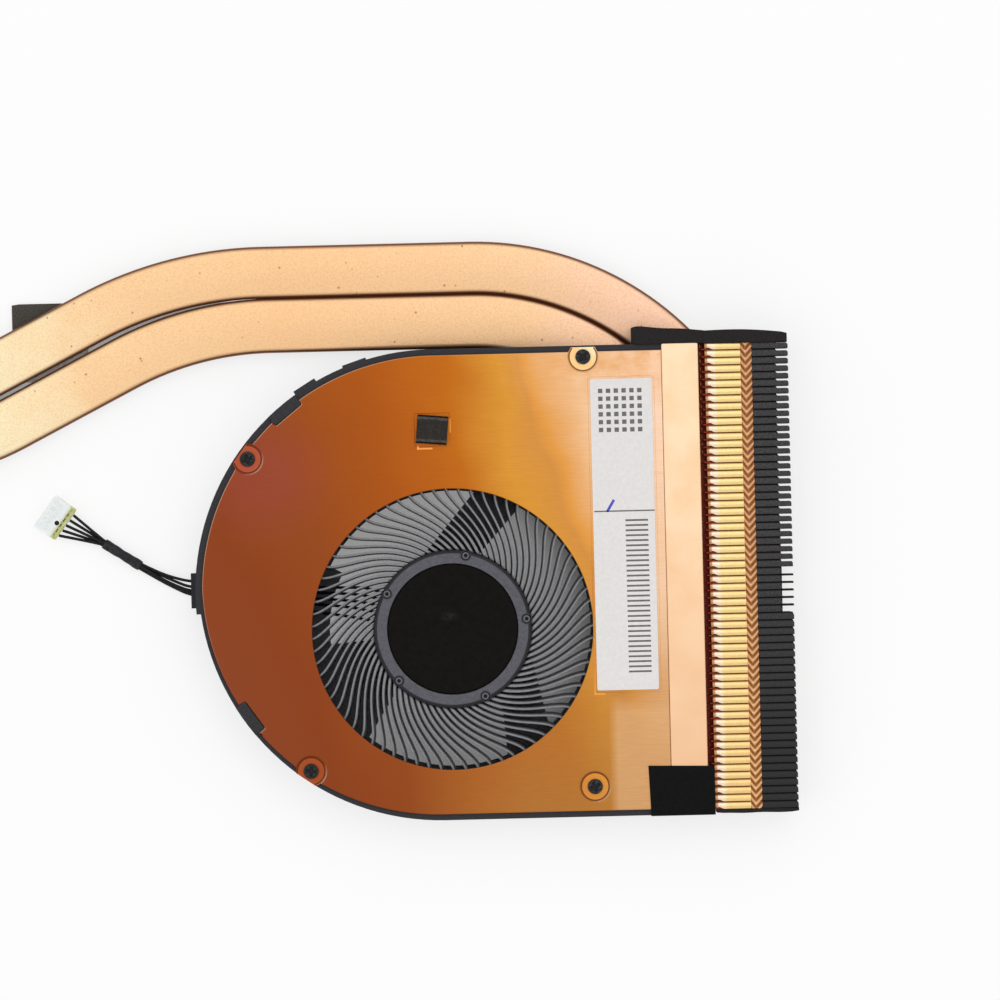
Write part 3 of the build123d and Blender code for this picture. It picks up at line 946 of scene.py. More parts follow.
def floor_look():
    """White paper that shows itself a little brighter than it is lit, with painted shadow under the fan,
    where it is greyer and glows less, and along the gap between the pipes, where it glows less.
    """
    look = Look("floor_white", 0.85)
    x, y = map(look.axis, "XY")
    paper = look.ramp(look.noise(0.01, 2.0), [(0.3, (252, 252, 252)), (0.7, (255, 255, 255))])
    radius = look.reach(x, y)
    under = radius.span(27.0, 31.0, 1.0, 0.0)
    # Painted shadow under the fan: greyer towards the lower right.
    shade = (x - y).span(-22.0, 14.0) * under
    look.set("Base Color", look.mix(shade, paper, (226, 226, 226)))
    # Painted shadow: less glow under the fan, least near its right rim, and along the gap between the
    # pipes.
    rim = radius.span(16.5, inlet_radius) * x.span(4.0, 14.0)
    dim = shade.span(0.0, 1.0, *shaded_glow) * rim.span(0.0, 1.0, 1.0, 0.3)
    share = under.span(0.0, 1.0, floor_glow, 0.0) + dim * under
    share = share - pipe_gap(look) * (floor_glow - gap_glow)
    rays = [look.add("LightPath", {}, f"Is {kind} Ray") for kind in ("Camera", "Glossy", "Transmission")]
    seen = look.math("MAXIMUM", look.math("MAXIMUM", rays[0], rays[1]), rays[2])
    lit = Field(look, look.shader.outputs[0])
    blend = look.add("MixShader", {0: seen * share, 1: lit, 2: look.add("Emission", {})})
    look.give(look.nodes["Material Output"].inputs["Surface"], blend)
    return look


cover_copper = cover_look()
pipe_copper = pipe_look()
strip_copper = strip_look()
fin_copper = fin_look()
fin_black = coated_look()
screw_black = screw_look()
tape_black = painted_look("tape_black", (14, 14, 14), (21, 21, 21), 0.6, 2.0, 0.02, 0.06)
sleeve_grey = painted_look("sleeve_grey", (32, 32, 35), (54, 54, 58), 0.45, 1.6)
wire_black = painted_look("wire_black", (22, 22, 23), (40, 40, 42), 0.45, 3.0)
pad_dark = pad_look()
cup_black = cup_look()
impeller_grey = hub_look()
blade_grey = blade_look()
print_grey = painted_look("print_grey", (100, 98, 98), (124, 122, 122), 0.5, 3.0, 0.005)
pen_blue = painted_look("pen_blue", (70, 70, 186), (100, 100, 206), 0.5, 3.0, 0.005)
foam_black = foam_look("foam_black", (18, 17, 17), (44, 41, 41))
support_grey = foam_look("support_foam", (42, 40, 36), (78, 74, 68), True)
label_white = paper_look()
plug_white = nylon_look()
bar_steel = metal_look("bar_steel", (168, 170, 172), (202, 203, 205), 0.35)
plate_copper = metal_look("plate_copper", (214, 142, 100), (240, 178, 134), 0.35)

kept_nodes = {
    # The base and the frame get their upward faces painted greyer as painted light.
    "bottom_cover": upward_look("base_black", (28, 28, 29), (116, 116, 120), (130, 130, 134), 5.0),
    "fan_frame": upward_look("frame_black", (24, 24, 25), (46, 46, 49), (60, 60, 64), 4.0),
    "magnet_ring": painted_look("magnet_grey", (58, 58, 60), (78, 78, 80), 0.7, 5.0),
    "shaft": metal_look("shaft_steel", (170, 172, 176), (205, 206, 210), 0.25),
    "thrust_pad": painted_look("thrust_white", (226, 224, 214), (238, 236, 228), 0.5, 3.0),
    "sleeve_bearing": metal_look("bearing_bronze", (150, 104, 56), (184, 136, 80), 0.45),
    "stator_core": metal_look("stator_steel", (112, 114, 118), (150, 152, 156), 0.45),
    "stator_coils": coil_look(),
    "motor_board": board_look(),
    "driver_chip": painted_look("chip_black", (22, 22, 24), (36, 36, 38), 0.6, 7.0),
    "connector_terminals": metal_look("terminal_tin", (196, 196, 190), (226, 226, 222), 0.3),
}


def dress_kept_nodes():
    for name, look in kept_nodes.items():
        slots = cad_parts[name].data.materials
        slots.clear()
        slots.append(look.material)


# Camera, floor and light

def make_camera():
    data = bpy.data.cameras.new("photo_camera")
    data.sensor_width = sensor
    data.lens = sensor * view_height / photo_width
    data.clip_end = view_limit * MM
    camera = add_object("photo_camera", data)
    camera.location = Vector((*view_center, view_height + fan_height)) * MM
    camera.rotation_euler = (0.0, 0.0, math.radians(view_turn))
    bpy.context.scene.camera = camera


def make_floor():
    half = floor_size / 2
    corners = [(-half, -half), (half, -half), (half, half), (-half, half)]
    mesh = bpy.data.meshes.new("floor")
    mesh.from_pydata([(x * MM, y * MM, -floor_drop * MM) for x, y in corners], [], [(0, 1, 2, 3)])
    mesh.materials.append(floor_look().material)
    add_object("floor", mesh)


def make_light():
    world = bpy.data.worlds.new("studio")
    world.use_nodes = True
    sky = world.node_tree.nodes["Background"].inputs
    sky["Color"].default_value = (1.0, 1.0, 1.0, 1.0)
    sky["Strength"].default_value = world_strength
    bpy.context.scene.world = world
    for name, (place, side, power) in lamps.items():
        data = bpy.data.lights.new(name, "AREA")
        data.shape = "SQUARE"
        data.size = side * MM
        data.energy = power
        lamp = add_object(name, data)
        lamp.location = Vector(place) * MM
        lamp.rotation_euler = (-Vector(place)).to_track_quat("-Z", "Y").to_euler()


# Lead wires with their sleeve and plug

def wire_side(index):
    """How many places a wire lies from the middle one."""
    return index - (wire_count - 1) / 2


def lead_points(index):
    """A wire's route from the motor board through the gate and the sleeve to its terminal."""
    side = wire_side(index)
    start = placed([(plug_size[0] / 2 + wire_gap, side * plug_pitch)], plug_center, plug_turn)[0]
    along = (sleeve_end - sleeve_start).normalized()
    across = Vector((-along.y, along.x, 0))
    angle = math.radians(90 + 360 * bundle_order[index] / wire_count)
    ring = bundle_slack * wire_radius / math.sin(math.pi / wire_count)
    shift = across * ring * math.cos(angle) + Vector((0, 0, ring * math.sin(angle)))
    spread = [Vector((x, rows[index], wire_level)) for x, rows in fan_rows]
    return [
        Vector((board_x, board_wire_y + side * board_wire_pitch, wire_level)),
        *spread,
        Vector((-housing_left, gate_rows[index], wire_level)),
        Vector((open_x, open_rows[index], wire_level)),
        sleeve_end + along * sleeve_lead + shift,
        sleeve_end + shift,
        sleeve_start + shift,
        sleeve_start - along * sleeve_lead + shift,
        Vector((*start, cavity_level)),
    ]


def make_wire(index):
    name = f"lead_{index + 1}"
    route = [point * MM for point in lead_points(index)]
    data = bpy.data.curves.new(name, "CURVE")
    data.dimensions = "3D"
    data.bevel_depth = wire_radius * MM
    data.bevel_resolution = 4
    data.resolution_u = 16
    data.use_fill_caps = True
    spline = data.splines.new("NURBS")
    spline.points.add(len(route) - 1)
    for spot, point in zip(spline.points, route):
        spot.co = (*point, 1.0)
    spline.order_u = 3
    spline.use_endpoint_u = True
    data.materials.append(wire_black.material)
    wire = add_object(name, data)
    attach(wire, "base")
    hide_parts(f"lead_wire_{index + 1}")


def ring_at(middle, across, radius):
    """A round upright ring of points whose plane holds a sideways direction."""
    return [tuple(middle + across * side + Vector((0, 0, up))) for side, up in circle((0, 0), radius, 28)]


def make_sleeve():
    """A wrap of black tape round the five wires, a little uneven."""
    along = sleeve_end - sleeve_start
    across = Vector((-along.y, along.x, 0)).normalized()
    outside = []
    inside = []
    for share in shares(14):
        middle = sleeve_start + along * share
        swell = sum(depth * math.sin(rate * share) for depth, rate in sleeve_waves)
        outside.append(ring_at(middle, across, sleeve_bore + sleeve_skin + swell))
        inside.append(ring_at(middle, across, sleeve_bore))
    form = Form().loft(outside + inside[::-1] + outside[:1], closed=False)
    return piece("sleeve_wrap", form, sleeve_grey, "cable_sleeve")


def make_plug():
    """White plug: a body with wire cavities behind and contact windows on top."""
    length, width = plug_size
    form = Form().plate([rectangle((0, 0), plug_size, corner=plug_corner)], 0, plug_floor, 0.12)
    windows = []
    for index in range(wire_count):
        window = rectangle((window_x, wire_side(index) * plug_pitch), window_size, corner=0.1)
        windows.append((window, window_depth))
    roof = rectangle((-roof_short / 2, 0), (length - roof_short, width), corner=plug_corner)
    form.plate([roof], plug_roof, plug_height, 0.15, 3, windows)
    for index in range(wire_count + 1):
        thick = side_wall if index in (0, wire_count) else inner_wall
        reach = (width - thick) / 2
        y = max(min((index - wire_count / 2) * plug_pitch, reach), -reach)
        form.plate([rectangle((0, y), (length - wall_short, thick))], *wall_levels, 0.03, 1)
    form.plate([rectangle((ledge_x, 0), ledge_size, corner=0.1)], plug_roof, ledge_top, 0.1)
    form.moved(plug_center, plug_turn)
    body = piece("plug_body", form, plug_white, "connector_housing")
    spot = circle(plug_dot_place, plug_dot_radius, 20)
    dot = Form().plate([spot], plug_height - 0.02, plug_height + 0.01, 0.005, 1)
    dot.moved(plug_center, plug_turn)
    piece("plug_dot", dot, wire_black, "connector_housing")
    return body


# Fan cover and what lies on it

def stretch(place, start, end):
    """Evenly spaced points along one run of the edge."""
    count = max(1, round((end - start) / edge_spacing))
    return [place(between((start, end), share), 0.0) for share in shares(count)]


def edge_run(place, length, features=()):
    """One run of the cover's edge. A feature has its start, its end and the points that replace it."""
    points = []
    start = 0.0
    for first, last, drawing in sorted(features, key=lambda feature: feature[0]):
        points += stretch(place, start, first)[:-1] + drawing
        start = last
    return points + stretch(place, start, length)[1 if features else 0:]


def arc_place(center, radius, first):
    """Places along an arc of the edge: a length from its first angle, and a distance outward."""
    return lambda s, out: polar_point(center, radius + out, math.radians(first) + s / radius)


def polar(center, point):
    """The distance and the angle in degrees of a point from a centre."""
    offset = Vector(point) - Vector(center)
    return offset.length, math.degrees(math.atan2(offset.y, offset.x)) % 360


def notch(place, center, radius, first, tab_center, tab_radius, tab_angle):
    """A notch of the edge with rounded inner corners, round a tab of the frame."""
    tab = placed([(tab_radius - tab_depth, 0.0)], tab_center, tab_angle)[0]
    tab_reach, angle = polar(center, tab)
    spot = math.radians(angle - first) * radius
    half = tab_length / 2 + tab_clearance
    depth = tab_reach - radius - tab_clearance
    cut = notch_round * 0.3
    half_drawing = [(half - notch_round, depth), (half - cut, depth + cut),
                    (half, depth + notch_round), (half, 0.0)]
    drawing = [(-along, out) for along, out in half_drawing[::-1]] + half_drawing
    return spot - half, spot + half, [place(spot + along, out) for along, out in drawing]


def shank_hole(point):
    return circle(point, screw_shank_radius + shank_clearance, 24)


class Seat:
    """A pressed screw seat that is open towards the rim."""

    def __init__(self, point, outward, edge, rim):
        self.point = point
        self.outward = outward
        self.edge = edge
        self.rim = rim

    def bow(self, radius, reach):
        """An arc round the inner side of the screw, from one end of the mouth to the other."""
        mouth = math.degrees(math.acos(reach / radius))
        return arc(self.point, radius, self.outward - mouth, self.outward + mouth - 360, 40)

    def feature(self, spot):
        """The seat as a feature of the edge, at a length along its run."""
        half = math.sqrt(seat_radius ** 2 - self.edge ** 2)
        return spot - half, spot + half, self.bow(seat_radius, self.edge)

    def press(self, form):
        """The sunk floor and the sloping wall round it."""
        floor = self.bow(seat_radius, self.rim)
        form.plate([floor, shank_hole(self.point)], cover_under, seat_floor, seat_bevel, 1)
        arcs = [self.bow(radius, self.rim * radius / seat_radius) for radius, z in seat_wall]
        levels = [z for radius, z in seat_wall]
        form.loft([[(*point, z) for point, z in zip(points, levels)] for points in zip(*arcs)])


def make_cover():
    """The cover sheet with its inlet, notches, pressed screw seats and shallow pockets."""
    meeting = (upper_level + lower_level) / 2
    upper_end = 180 - math.degrees(math.asin((meeting - upper_level) / cover_upper))
    lower_start = 180 + math.degrees(math.asin((lower_level - meeting) / cover_lower))
    upper = (cover_upper_center, cover_upper, 90)
    lower = (cover_lower_center, cover_lower, lower_start)
    upper_place = arc_place(*upper)
    lower_place = arc_place(*lower)
    first, second, third, fourth = screw_points
    first_reach, first_angle = polar(cover_upper_center, first)
    third_reach, third_angle = polar(cover_lower_center, third)
    first_rim = upper_radius - polar(upper_center, first)[0] - rim_gap
    third_rim = lower_radius - polar(lower_center, third)[0] - lower_rim_gap
    first_seat = Seat(first, first_angle, cover_upper - first_reach, first_rim)
    second_seat = Seat(second, 90, cover_top - second[1], housing_top - second[1] - rim_gap)
    third_seat = Seat(third, third_angle, cover_lower - third_reach, third_rim)
    outline = edge_run(lambda s, out: (cover_end - s, cover_top + out), cover_end - cover_upper_center[0],
                       [second_seat.feature(cover_end - second[0])])
    outline += edge_run(upper_place, math.radians(upper_end - 90) * cover_upper, [
        notch(upper_place, *upper, upper_center, upper_radius, upper_tab_angle),
        first_seat.feature(math.radians(first_angle - 90) * cover_upper),
    ])[1:]
    outline += edge_run(lower_place, math.radians(270 - lower_start) * cover_lower, [
        notch(lower_place, *lower, lower_center, lower_radius, lower_tab_angle),
        third_seat.feature(math.radians(third_angle - lower_start) * cover_lower),
    ])[1:]
    outline += edge_run(lambda s, out: (cover_lower_center[0] + s, -cover_bottom - out),
                        cover_end - cover_lower_center[0])[1:]
    pockets = []
    for center, size, corner in ((label_center, label_size, label_pocket_corner),
                                 (pad_center, pad_size, pad_pocket_corner)):
        wide = [side + 2 * pocket_border for side in size]
        pockets.append((rectangle(center, wide, corner=corner), pocket_depth))
    round_seat = circle(fourth, seat_radius)
    loops = [outline, circle((0, 0), inlet_radius, inlet_steps), round_seat]
    form = Form().plate(loops, cover_under, fan_height, cover_bevel, 3, pockets)
    for seat in (first_seat, second_seat, third_seat):
        seat.press(form)
    form.plate([round_seat, shank_hole(fourth)], cover_under, seat_floor, seat_bevel, 1)
    form.turn(seat_wall, 48, fourth)
    piece("cover_sheet", form, cover_copper, "top_cover")


def make_screws():
    """Black cross-head screws."""
    half = cross_width / 2
    arm = [(cross_arm, -half), (cross_arm, half), (half, half)]
    cross = [point for side in range(4) for point in placed(arm, (0, 0), 90 * side)]
    form = Form()
    for number, point in enumerate(screw_points):
        recess = placed(cross, point, screw_turn + screw_turn_step * number)
        head = circle(point, screw_head_radius, 40)
        form.plate([head], seat_floor, seat_floor + screw_head_height, screw_rounding, 4,
                   [(recess, cross_depth)])
        shank = circle(point, screw_shank_radius, 24)
        form.plate([shank], seat_floor - screw_length, seat_floor + shank_overlap, 0.1)
    piece("cover_screw_set", form, screw_black, "cover_screws")


def make_label():
    sheet = Form().plate([rectangle(label_center, label_size, corner=0.3)], label_low, label_high, 0.03)
    piece("paper_label", sheet, label_white, "label")


def mark(form, center, size, turn=0.0):
    """A flat printed rectangle on the label."""
    loop = rectangle(center, size, turn)
    form.plate([loop], label_high - mark_sink, label_high + mark_height, 0.002, 1)


def make_label_marks():
    """Plain printed shapes on the label: a ruled line, a square of dots, even stripes and a pen stroke."""
    grey = Form()
    pen = Form()
    mark(grey, rule_place, rule_size)
    for row in range(dot_rows):
        for column in range(dot_rows):
            spot = (dot_corner[0] + column * dot_pitch, dot_corner[1] + row * dot_pitch)
            mark(grey, spot, (dot_side, dot_side))
    for stripe in range(stripe_count):
        mark(grey, (stripe_place[0], stripe_place[1] + stripe * stripe_pitch), stripe_size)
    mark(pen, stroke_place, stroke_size, stroke_turn)
    piece("label_print", grey, print_grey, "label")
    piece("label_stroke", pen, pen_blue, "label")


def make_cover_pad():
    """A small dark felt square."""
    felt = Form().plate([rectangle(pad_center, pad_size, pad_turn, 0.1)], label_low, pad_high, 0.12, 3)
    piece("felt_pad", felt, pad_dark, "cover_pad")


def make_strip():
    """Copper foil from the cover's edge to the fins."""
    middle = ((strip_sides[0] + strip_sides[1]) / 2, (housing_top - housing_bottom) / 2)
    size = (strip_sides[1] - strip_sides[0], housing_top + housing_bottom)
    foil = Form().plate([rectangle(middle, size, corner=0.3)], cover_under, fan_height, 0.15, 3)
    piece("outlet_foil", foil, strip_copper, "outlet_strip")


def make_corner_tape():
    """Black tape over the outlet's lower corner, folded down the side."""
    top = fan_height + tape_thickness
    foot = fan_height - tape_drop
    low_y = -housing_bottom - tape_thickness
    side_y = -housing_bottom - tape_gap
    section = [(tape_top, fan_height), (tape_top, top)]
    section += arc((low_y + tape_fold, top - tape_fold), tape_fold, 90, 180, 4)
    section += [(low_y, foot), (side_y, foot), (side_y, fan_height)]
    rings = []
    for share in shares(12):
        x = between(tape_sides, share)
        ring = []
        for y, z in section:
            pull = max(0.0, (y - low_y) / (tape_top - low_y))
            ring.append((x - tape_skew * pull * (1 - share), y - tape_lean * share * pull, z))
        rings.append(ring)
    piece("corner_tape_strip", Form().loft(rings), tape_black, "corner_tape")


# Foam: a section has its low and high Y, its low and high Z and its corner, at a share of the length

def upper_left_section(share):
    """The thin half of the upper seal, beside the fan, pinched at its outer end."""
    pinch = left_foam_pinch if share == 0 else 0.0
    low_y = left_foam_low_y + pinch
    high_y = between(left_foam_high_y, share) + left_foam_wave * math.sin(11 * share) - pinch
    return low_y, high_y, foam_low + pinch, left_foam_top - pinch, upper_foam_corner


def upper_right_section(share):
    """The fuller half of the upper seal, beside the fins, with a bulge in its middle."""
    pinch = right_foam_pinch if share == 1 else 0.0
    bulge = right_foam_bulge * math.sin(math.pi * share) - pinch
    high_y = between(right_foam_high_y, share) + bulge
    return right_foam_low_y, high_y, foam_low + pinch, right_foam_top + bulge, upper_foam_corner


def lower_section(share):
    """The thin lower seal, a little wavy and pinched at both ends."""
    pinch = lower_foam_pinch if share in (0, 1) else 0.0
    low_y = fin_low_y - lower_foam_width + lower_foam_wave * math.sin(14 * share) + pinch
    high_y = fin_low_y - lower_foam_gap
    return low_y, high_y, foam_low + pinch, lower_foam_top - pinch, lower_foam_corner


def support_section(share):
    """The flat pad under the pipes, pinched at both ends."""
    pinch = support_pinch if share in (0, 1) else 0.0
    wide = support_size[1] / 2 - pinch
    middle_y = support_center[1]
    return middle_y - wide, middle_y + wide, pinch, support_height - pinch, support_corner


def make_foam(name, node, ends, steps, section, look):
    """A foam block lofted along X."""
    rings = []
    for share in shares(steps):
        y0, y1, z0, z1, corner = section(share)
        loop = rectangle(((y0 + y1) / 2, (z0 + z1) / 2), (y1 - y0, z1 - z0), corner=corner)
        rings.append([(between(ends, share), y, z) for y, z in loop])
    made = piece(name, Form().loft(rings), look, node)


def make_foams():
    left = (upper_foam_ends[0], upper_foam_split)
    right = (upper_foam_split, upper_foam_ends[1])
    pad = (support_center[0] - support_size[0] / 2, support_center[0] + support_size[0] / 2)
    make_foam("upper_foam_left", "foam_strip_upper", left, 14, upper_left_section, foam_black)
    make_foam("upper_foam_right", "foam_strip_upper", right, 14, upper_right_section, foam_black)
    make_foam("lower_foam_strip", "foam_strip_lower", lower_foam_ends, 12, lower_section, foam_black)
    make_foam("support_foam", "support_pad", pad, 10, support_section, support_grey)


# Rotor

def blade_point(radius, turn):
    """A place on a blade's middle line, which is slanted at the hub and radial at the tip."""
    share = min((radius - hub_radius) / blade_turn_length, 1.0)
    turned = max(share, 0.0) ** (blade_turn_power + 1) / (blade_turn_power + 1)
    sweep = blade_phase + blade_slant * blade_turn_length * (share - turned)
    return Vector(polar_point((0, 0), radius, math.radians(sweep) + turn))


def blade_rings(turn):
    """Sections of one blade from the hub to its tip, with a rounded top edge."""
    root = hub_radius - root_sink
    rings = []
    for share in shares(blade_samples):
        radius = between((root, tip_radius), share)
        middle = blade_point(radius, turn)
        along = blade_point(radius + blade_probe, turn) - blade_point(radius - blade_probe, turn)
        across = Vector((-along.y, along.x)).normalized()
        fade = max(0.0, (radius - tip_radius + tip_fade) / tip_fade)
        sunk = max(0.0, 1 - (radius - root) / root_fade)
        top = rotor_top - tip_drop * fade * fade - root_drop * sunk
        half = blade_thickness / 2 * (1 + root_swell * max(0.0, 1 - (radius - root) / root_reach))
        profile = [(side, top - drop) for side, drop in blade_edge]
        profile = [(-1.0, rotor_bottom), *profile, (1.0, rotor_bottom)]
        ring = []
        for side, z in profile:
            lean = blade_lean * (top - z) / (rotor_top - rotor_bottom)
            ring.append((*(middle + across * (side * half + lean)), z))
        rings.append(ring)
    return rings


def make_impeller():
    """The hub with its ringed dimples, and the blades."""
    inside = cup_radius + cup_gap
    profile = [(inside, rotor_bottom), (inside, rotor_top - hub_chamfer)]
    profile += [(cup_radius + hub_chamfer, rotor_top)]
    profile += arc((hub_edge - hub_rounding, rotor_top - hub_rounding), hub_rounding, 90, 0, 6)
    hub = Form().turn(profile + [(hub_edge, rotor_bottom)], hub_steps)
    low = rotor_top - dimple_foot
    high = rotor_top + dimple_rise
    for index in range(dimple_count):
        angle = math.radians(dimple_angle + 360 * index / dimple_count)
        spot = polar_point((0, 0), dimple_ring, angle)
        hub.plate([circle(spot, dimple_radius, 32), circle(spot, dimple_groove, 32)], low, high, 0.04)
        hub.plate([circle(spot, dimple_groove - dimple_gap, 32)], low, high, 0.05, 2,
                  [(circle(spot, dimple_hole, 24), dimple_depth)])
    piece("impeller_hub", hub, impeller_grey, "impeller", "rotor")
    blades = Form()
    for index in range(blade_count):
        blades.loft(blade_rings(2 * math.pi * index / blade_count))
    piece("impeller_blades", blades, blade_grey, "impeller", "rotor")


def make_rotor_cup():
    """A cup whose closed top is the dark disc in the hub, with a shallow dent over the shaft."""
    inner = cup_radius - cup_wall
    dent = cup_top - cup_dent
    profile = [(0.0, dent), (dent_radius, dent), (dent_radius + dent_slope, cup_top)]
    profile += [(inner - cup_wall, cup_top)]
    profile += arc((cup_radius - cup_rounding, cup_top - cup_rounding), cup_rounding, 90, 0, 4)
    profile += [(cup_radius, cup_bottom), (inner, cup_bottom)]
    profile += [(inner, cup_top - cup_wall), (0.0, cup_top - cup_wall)]
    piece("rotor_cup_disc", Form().turn(profile), cup_black, "rotor_cup", "rotor")


# Heat side

def fillet_route(points, radii):
    """A route through corners that are rounded by arcs."""
    route = [points[0]]
    for before, corner, after, radius in zip(points, points[1:], points[2:], radii):
        corner = Vector(corner)
        back = (Vector(before) - corner).normalized()
        ahead = (Vector(after) - corner).normalized()
        half = back.angle(ahead) / 2
        center = corner + (back + ahead).normalized() * radius / math.sin(half)
        start = corner + back * radius / math.tan(half) - center
        sweep = math.pi - 2 * half
        sign = 1 if back.x * ahead.y - back.y * ahead.x < 0 else -1
        steps = max(bend_least_steps, round(radius * sweep / bend_spacing))
        for share in shares(steps):
            route += placed([start], center, math.degrees(sign * sweep * share))
    return route + [points[-1]]


def divided(route):
    """The route with its long straight runs divided."""
    finer = []
    for first, second in zip(route, route[1:]):
        count = max(1, round((Vector(second) - Vector(first)).length / run_spacing))
        for share in shares(count)[:-1]:
            finer.append(tuple(between(ends, share) for ends in zip(first, second)))
    return finer + [route[-1]]


def make_pipe(name, node, width, level, corners, bend, second_bend):
    """A flattened pipe with rounded edges and crimped ends."""
    run_y = bend_center[1] + bend
    fin_x = bend_center[0] + bend
    points = [(pipe_plate_end, level), (corners[0], level), (corners[1], run_y), (fin_x, run_y),
              (fin_x, pipe_fin_end)]
    route = divided(fillet_route(points, (first_bend, second_bend, bend)))
    lengths = [0.0]
    for first, second in zip(route, route[1:]):
        lengths.append(lengths[-1] + (Vector(second) - Vector(first)).length)
    sizes = []
    for length in lengths:
        share = min(1.0, min(length, lengths[-1] - length) / pipe_taper)
        full = math.sin(math.pi / 2 * share)
        sizes.append((between((crimp_width, 1), full), between((crimp_height, 1), full)))
    section = rectangle((0, 0), (width, pipe_high - pipe_low), corner=pipe_round, steps=5)
    middle = (pipe_low + pipe_high) / 2
    form = Form().sweep(section, [(x, y, middle) for x, y in route], sizes)
    piece(name, form, pipe_copper, node)


def make_pipes():
    outer_corners = [corner - outer_corner_shift for corner in inner_corners]
    make_pipe("inner_pipe", "heat_pipe_lower", inner_width, inner_level, inner_corners, inner_bend,
              inner_second_bend)
    make_pipe("outer_pipe", "heat_pipe_upper", outer_width, inner_level + pipe_step, outer_corners,
              inner_bend + pipe_step, inner_second_bend + pipe_step)


def flange_ring(x, low_y, start, width, far):
    """A section of one fin's top flange: flat, with a lip that slopes down to its far side."""
    top = fan_height
    under = top - fin_thickness
    middle = start + width * 0.55
    end = start + width
    lip = max(far, end)
    shape = [
        (start, top - 0.45), (start, top - 0.22), (start + 0.06, top - 0.08), (start + 0.2, top - 0.01),
        (middle, top), (end - 0.12, top - 0.02), (end - 0.02, top - 0.08), (lip, top - 0.3),
        (lip, top - 0.4), (end - 0.1, top - 0.28), (middle, under), (start + 0.26, under - 0.02),
        (start + 0.15, top - 0.3), (start + 0.15, top - 0.45),
    ]
    return [(x, low_y + across, z) for across, z in shape]


def copper_flange(form, low_y):
    """The top flange of one fin up to the folded seams, with an uneven front edge."""
    rings = []
    for x, start in flange_fronts + [(flange_end + flange_overlap - flange_start, 0.0)]:
        rings.append(flange_ring(flange_start + x, low_y, start, flange_width - start, flange_reach))
    form.loft(rings)


def black_flange(form, low_y, end, slit):
    """The coated top flange of one fin. Beside an open slit it is narrower and has no lip."""
    narrow = slit_flange if slit else flange_width
    closed = 0.0 if slit else flange_reach
    stations = [
        (black_start, 0.94, flange_reach),
        (black_start + 0.15, flange_width, flange_reach),
        (slit_start - 0.3, flange_width, flange_reach),
        (slit_start, narrow, closed),
        (end - 0.25, narrow, closed),
        (end - 0.08, narrow - 0.1, 0.0),
        (end, narrow - 0.25, 0.0),
    ]
    form.loft([flange_ring(min(x, end), low_y, 0.0, width, far) for x, width, far in stations])


def fin_web(form, low_y, start, end):
    """The upright sheet of one fin between two places along X."""
    center = (low_y + web_middle, (web_low + web_high) / 2)
    section = rectangle(center, (web_thickness, web_high - web_low))
    form.loft([[(x, y, z) for y, z in section] for x in (start, end)])


def fin_foot(form, low_y, start, end):
    """The lower flange of one fin between two places along X."""
    loop = rectangle(((start + end) / 2, low_y + fin_pitch / 2), (end - start, fin_pitch - foot_gap))
    form.plate([loop], web_low, web_low + foot_height, 0.02, 1)


def make_fold_band(form):
    """The herringbone of folded seams between the copper and the coated part of the flanges."""
    sides = (fin_low_y + chevron_inset, housing_top - chevron_top_inset)
    low = web_high - chevron_depth
    rings = []
    for station in shares(12):
        x = between((flange_end, chevron_end), station)
        side = chevron_apex - flange_end if x < chevron_apex else chevron_end - chevron_apex
        drop = chevron_drop * (1 - abs(x - chevron_apex) / side)
        ring = [(x, sides[1], low), (x, sides[0], low)]
        for share in shares(fin_count * chevron_samples):
            y = between(sides, share)
            wave = math.cos(2 * math.pi * (y - fin_low_y + drop - fin_pitch / 2) / fin_pitch)
            ring.append((x, y, fan_height - chevron_relief * (1 - wave)))
        rings.append(ring)
    form.loft(rings)


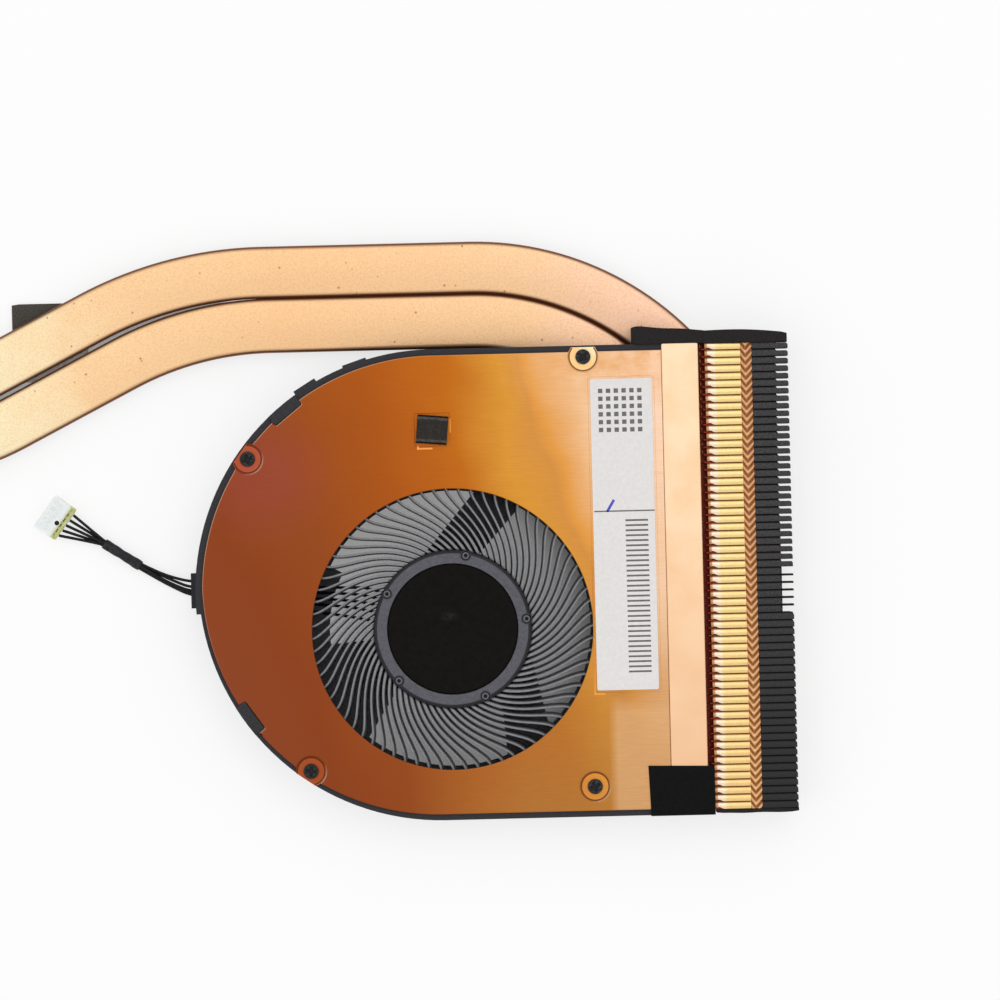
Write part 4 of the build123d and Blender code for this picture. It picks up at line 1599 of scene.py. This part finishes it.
def make_fins():
    """Folded fins: webs on the pipes, flanges below and above, folded seams and black coated ends."""
    copper = Form()
    black = Form()
    tip = fin_sides[1] - fin_inset
    for index in range(fin_count):
        low_y = fin_low_y + index * fin_pitch
        middle_y = low_y + fin_pitch / 2
        notched = notch_sides[0] < middle_y < notch_sides[1]
        slit = index > fin_count / 2 and not notched
        end = notch_start if notched else tip
        fin_web(copper, low_y, fin_sides[0] + web_inset, black_start)
        fin_web(black, low_y, black_start, end)
        if notched and low_y > notch_sides[0] + fin_pitch / 2:
            center = ((notch_start + tip) / 2, low_y - spoke_shift)
            spoke = rectangle(center, (tip - notch_start + spoke_shift, spoke_width))
            black.plate([spoke], web_low, web_high, 0.05)
        fin_foot(copper, low_y, foot_start, black_start)
        fin_foot(black, low_y, black_start, pinhole_sides[0])
        fin_foot(black, low_y, pinhole_sides[1] if slit else pinhole_sides[0], slit_start)
        if not slit and not notched:
            fin_foot(black, low_y, slit_start, tip - foot_short)
        tick = index - fin_count + tick_count
        if tick > 0:
            size = (tick_width, between(tick_lengths, tick / tick_count))
            lip = rectangle((fin_sides[0] + tick_shift, middle_y), size, corner=0.05)
            copper.plate([lip], web_low, tick_height, 0.03)
        copper_flange(copper, low_y)
        black_flange(black, low_y, end, slit)
    make_fold_band(copper)
    piece("fin_sheets", copper, fin_copper, "fin_stack")
    piece("fin_tips", black, fin_black, "fin_stack")


def make_cold_plate():
    block = Form().plate([rectangle(plate_center, plate_size, corner=1.2)], 0.0, plate_height, 0.12, 3)
    piece("cold_plate_block", block, plate_copper, "cold_plate")


def make_spring_bar():
    loops = [rectangle(plate_center, bar_size, corner=2.0, steps=8)]
    for side in (-1, 1):
        spot = (plate_center[0], plate_center[1] + side * bar_hole_spacing / 2)
        loops.append(circle(spot, bar_hole_radius, 40))
    bar = Form().plate(loops, *bar_sides, 0.12, 3)
    piece("spring_bar_strip", bar, bar_steel, "spring_bar")


make_camera()
make_floor()
make_light()
dress_kept_nodes()
sleeve = make_sleeve()
plug = make_plug()
for wire_index in range(wire_count):
    make_wire(wire_index)
make_cover()
make_screws()
make_label()
make_label_marks()
make_cover_pad()
make_strip()
make_corner_tape()
make_foams()
make_impeller()
make_rotor_cup()
make_pipes()
make_fins()
make_cold_plate()
make_spring_bar()

bpy.context.scene.view_settings.view_transform = "Standard"
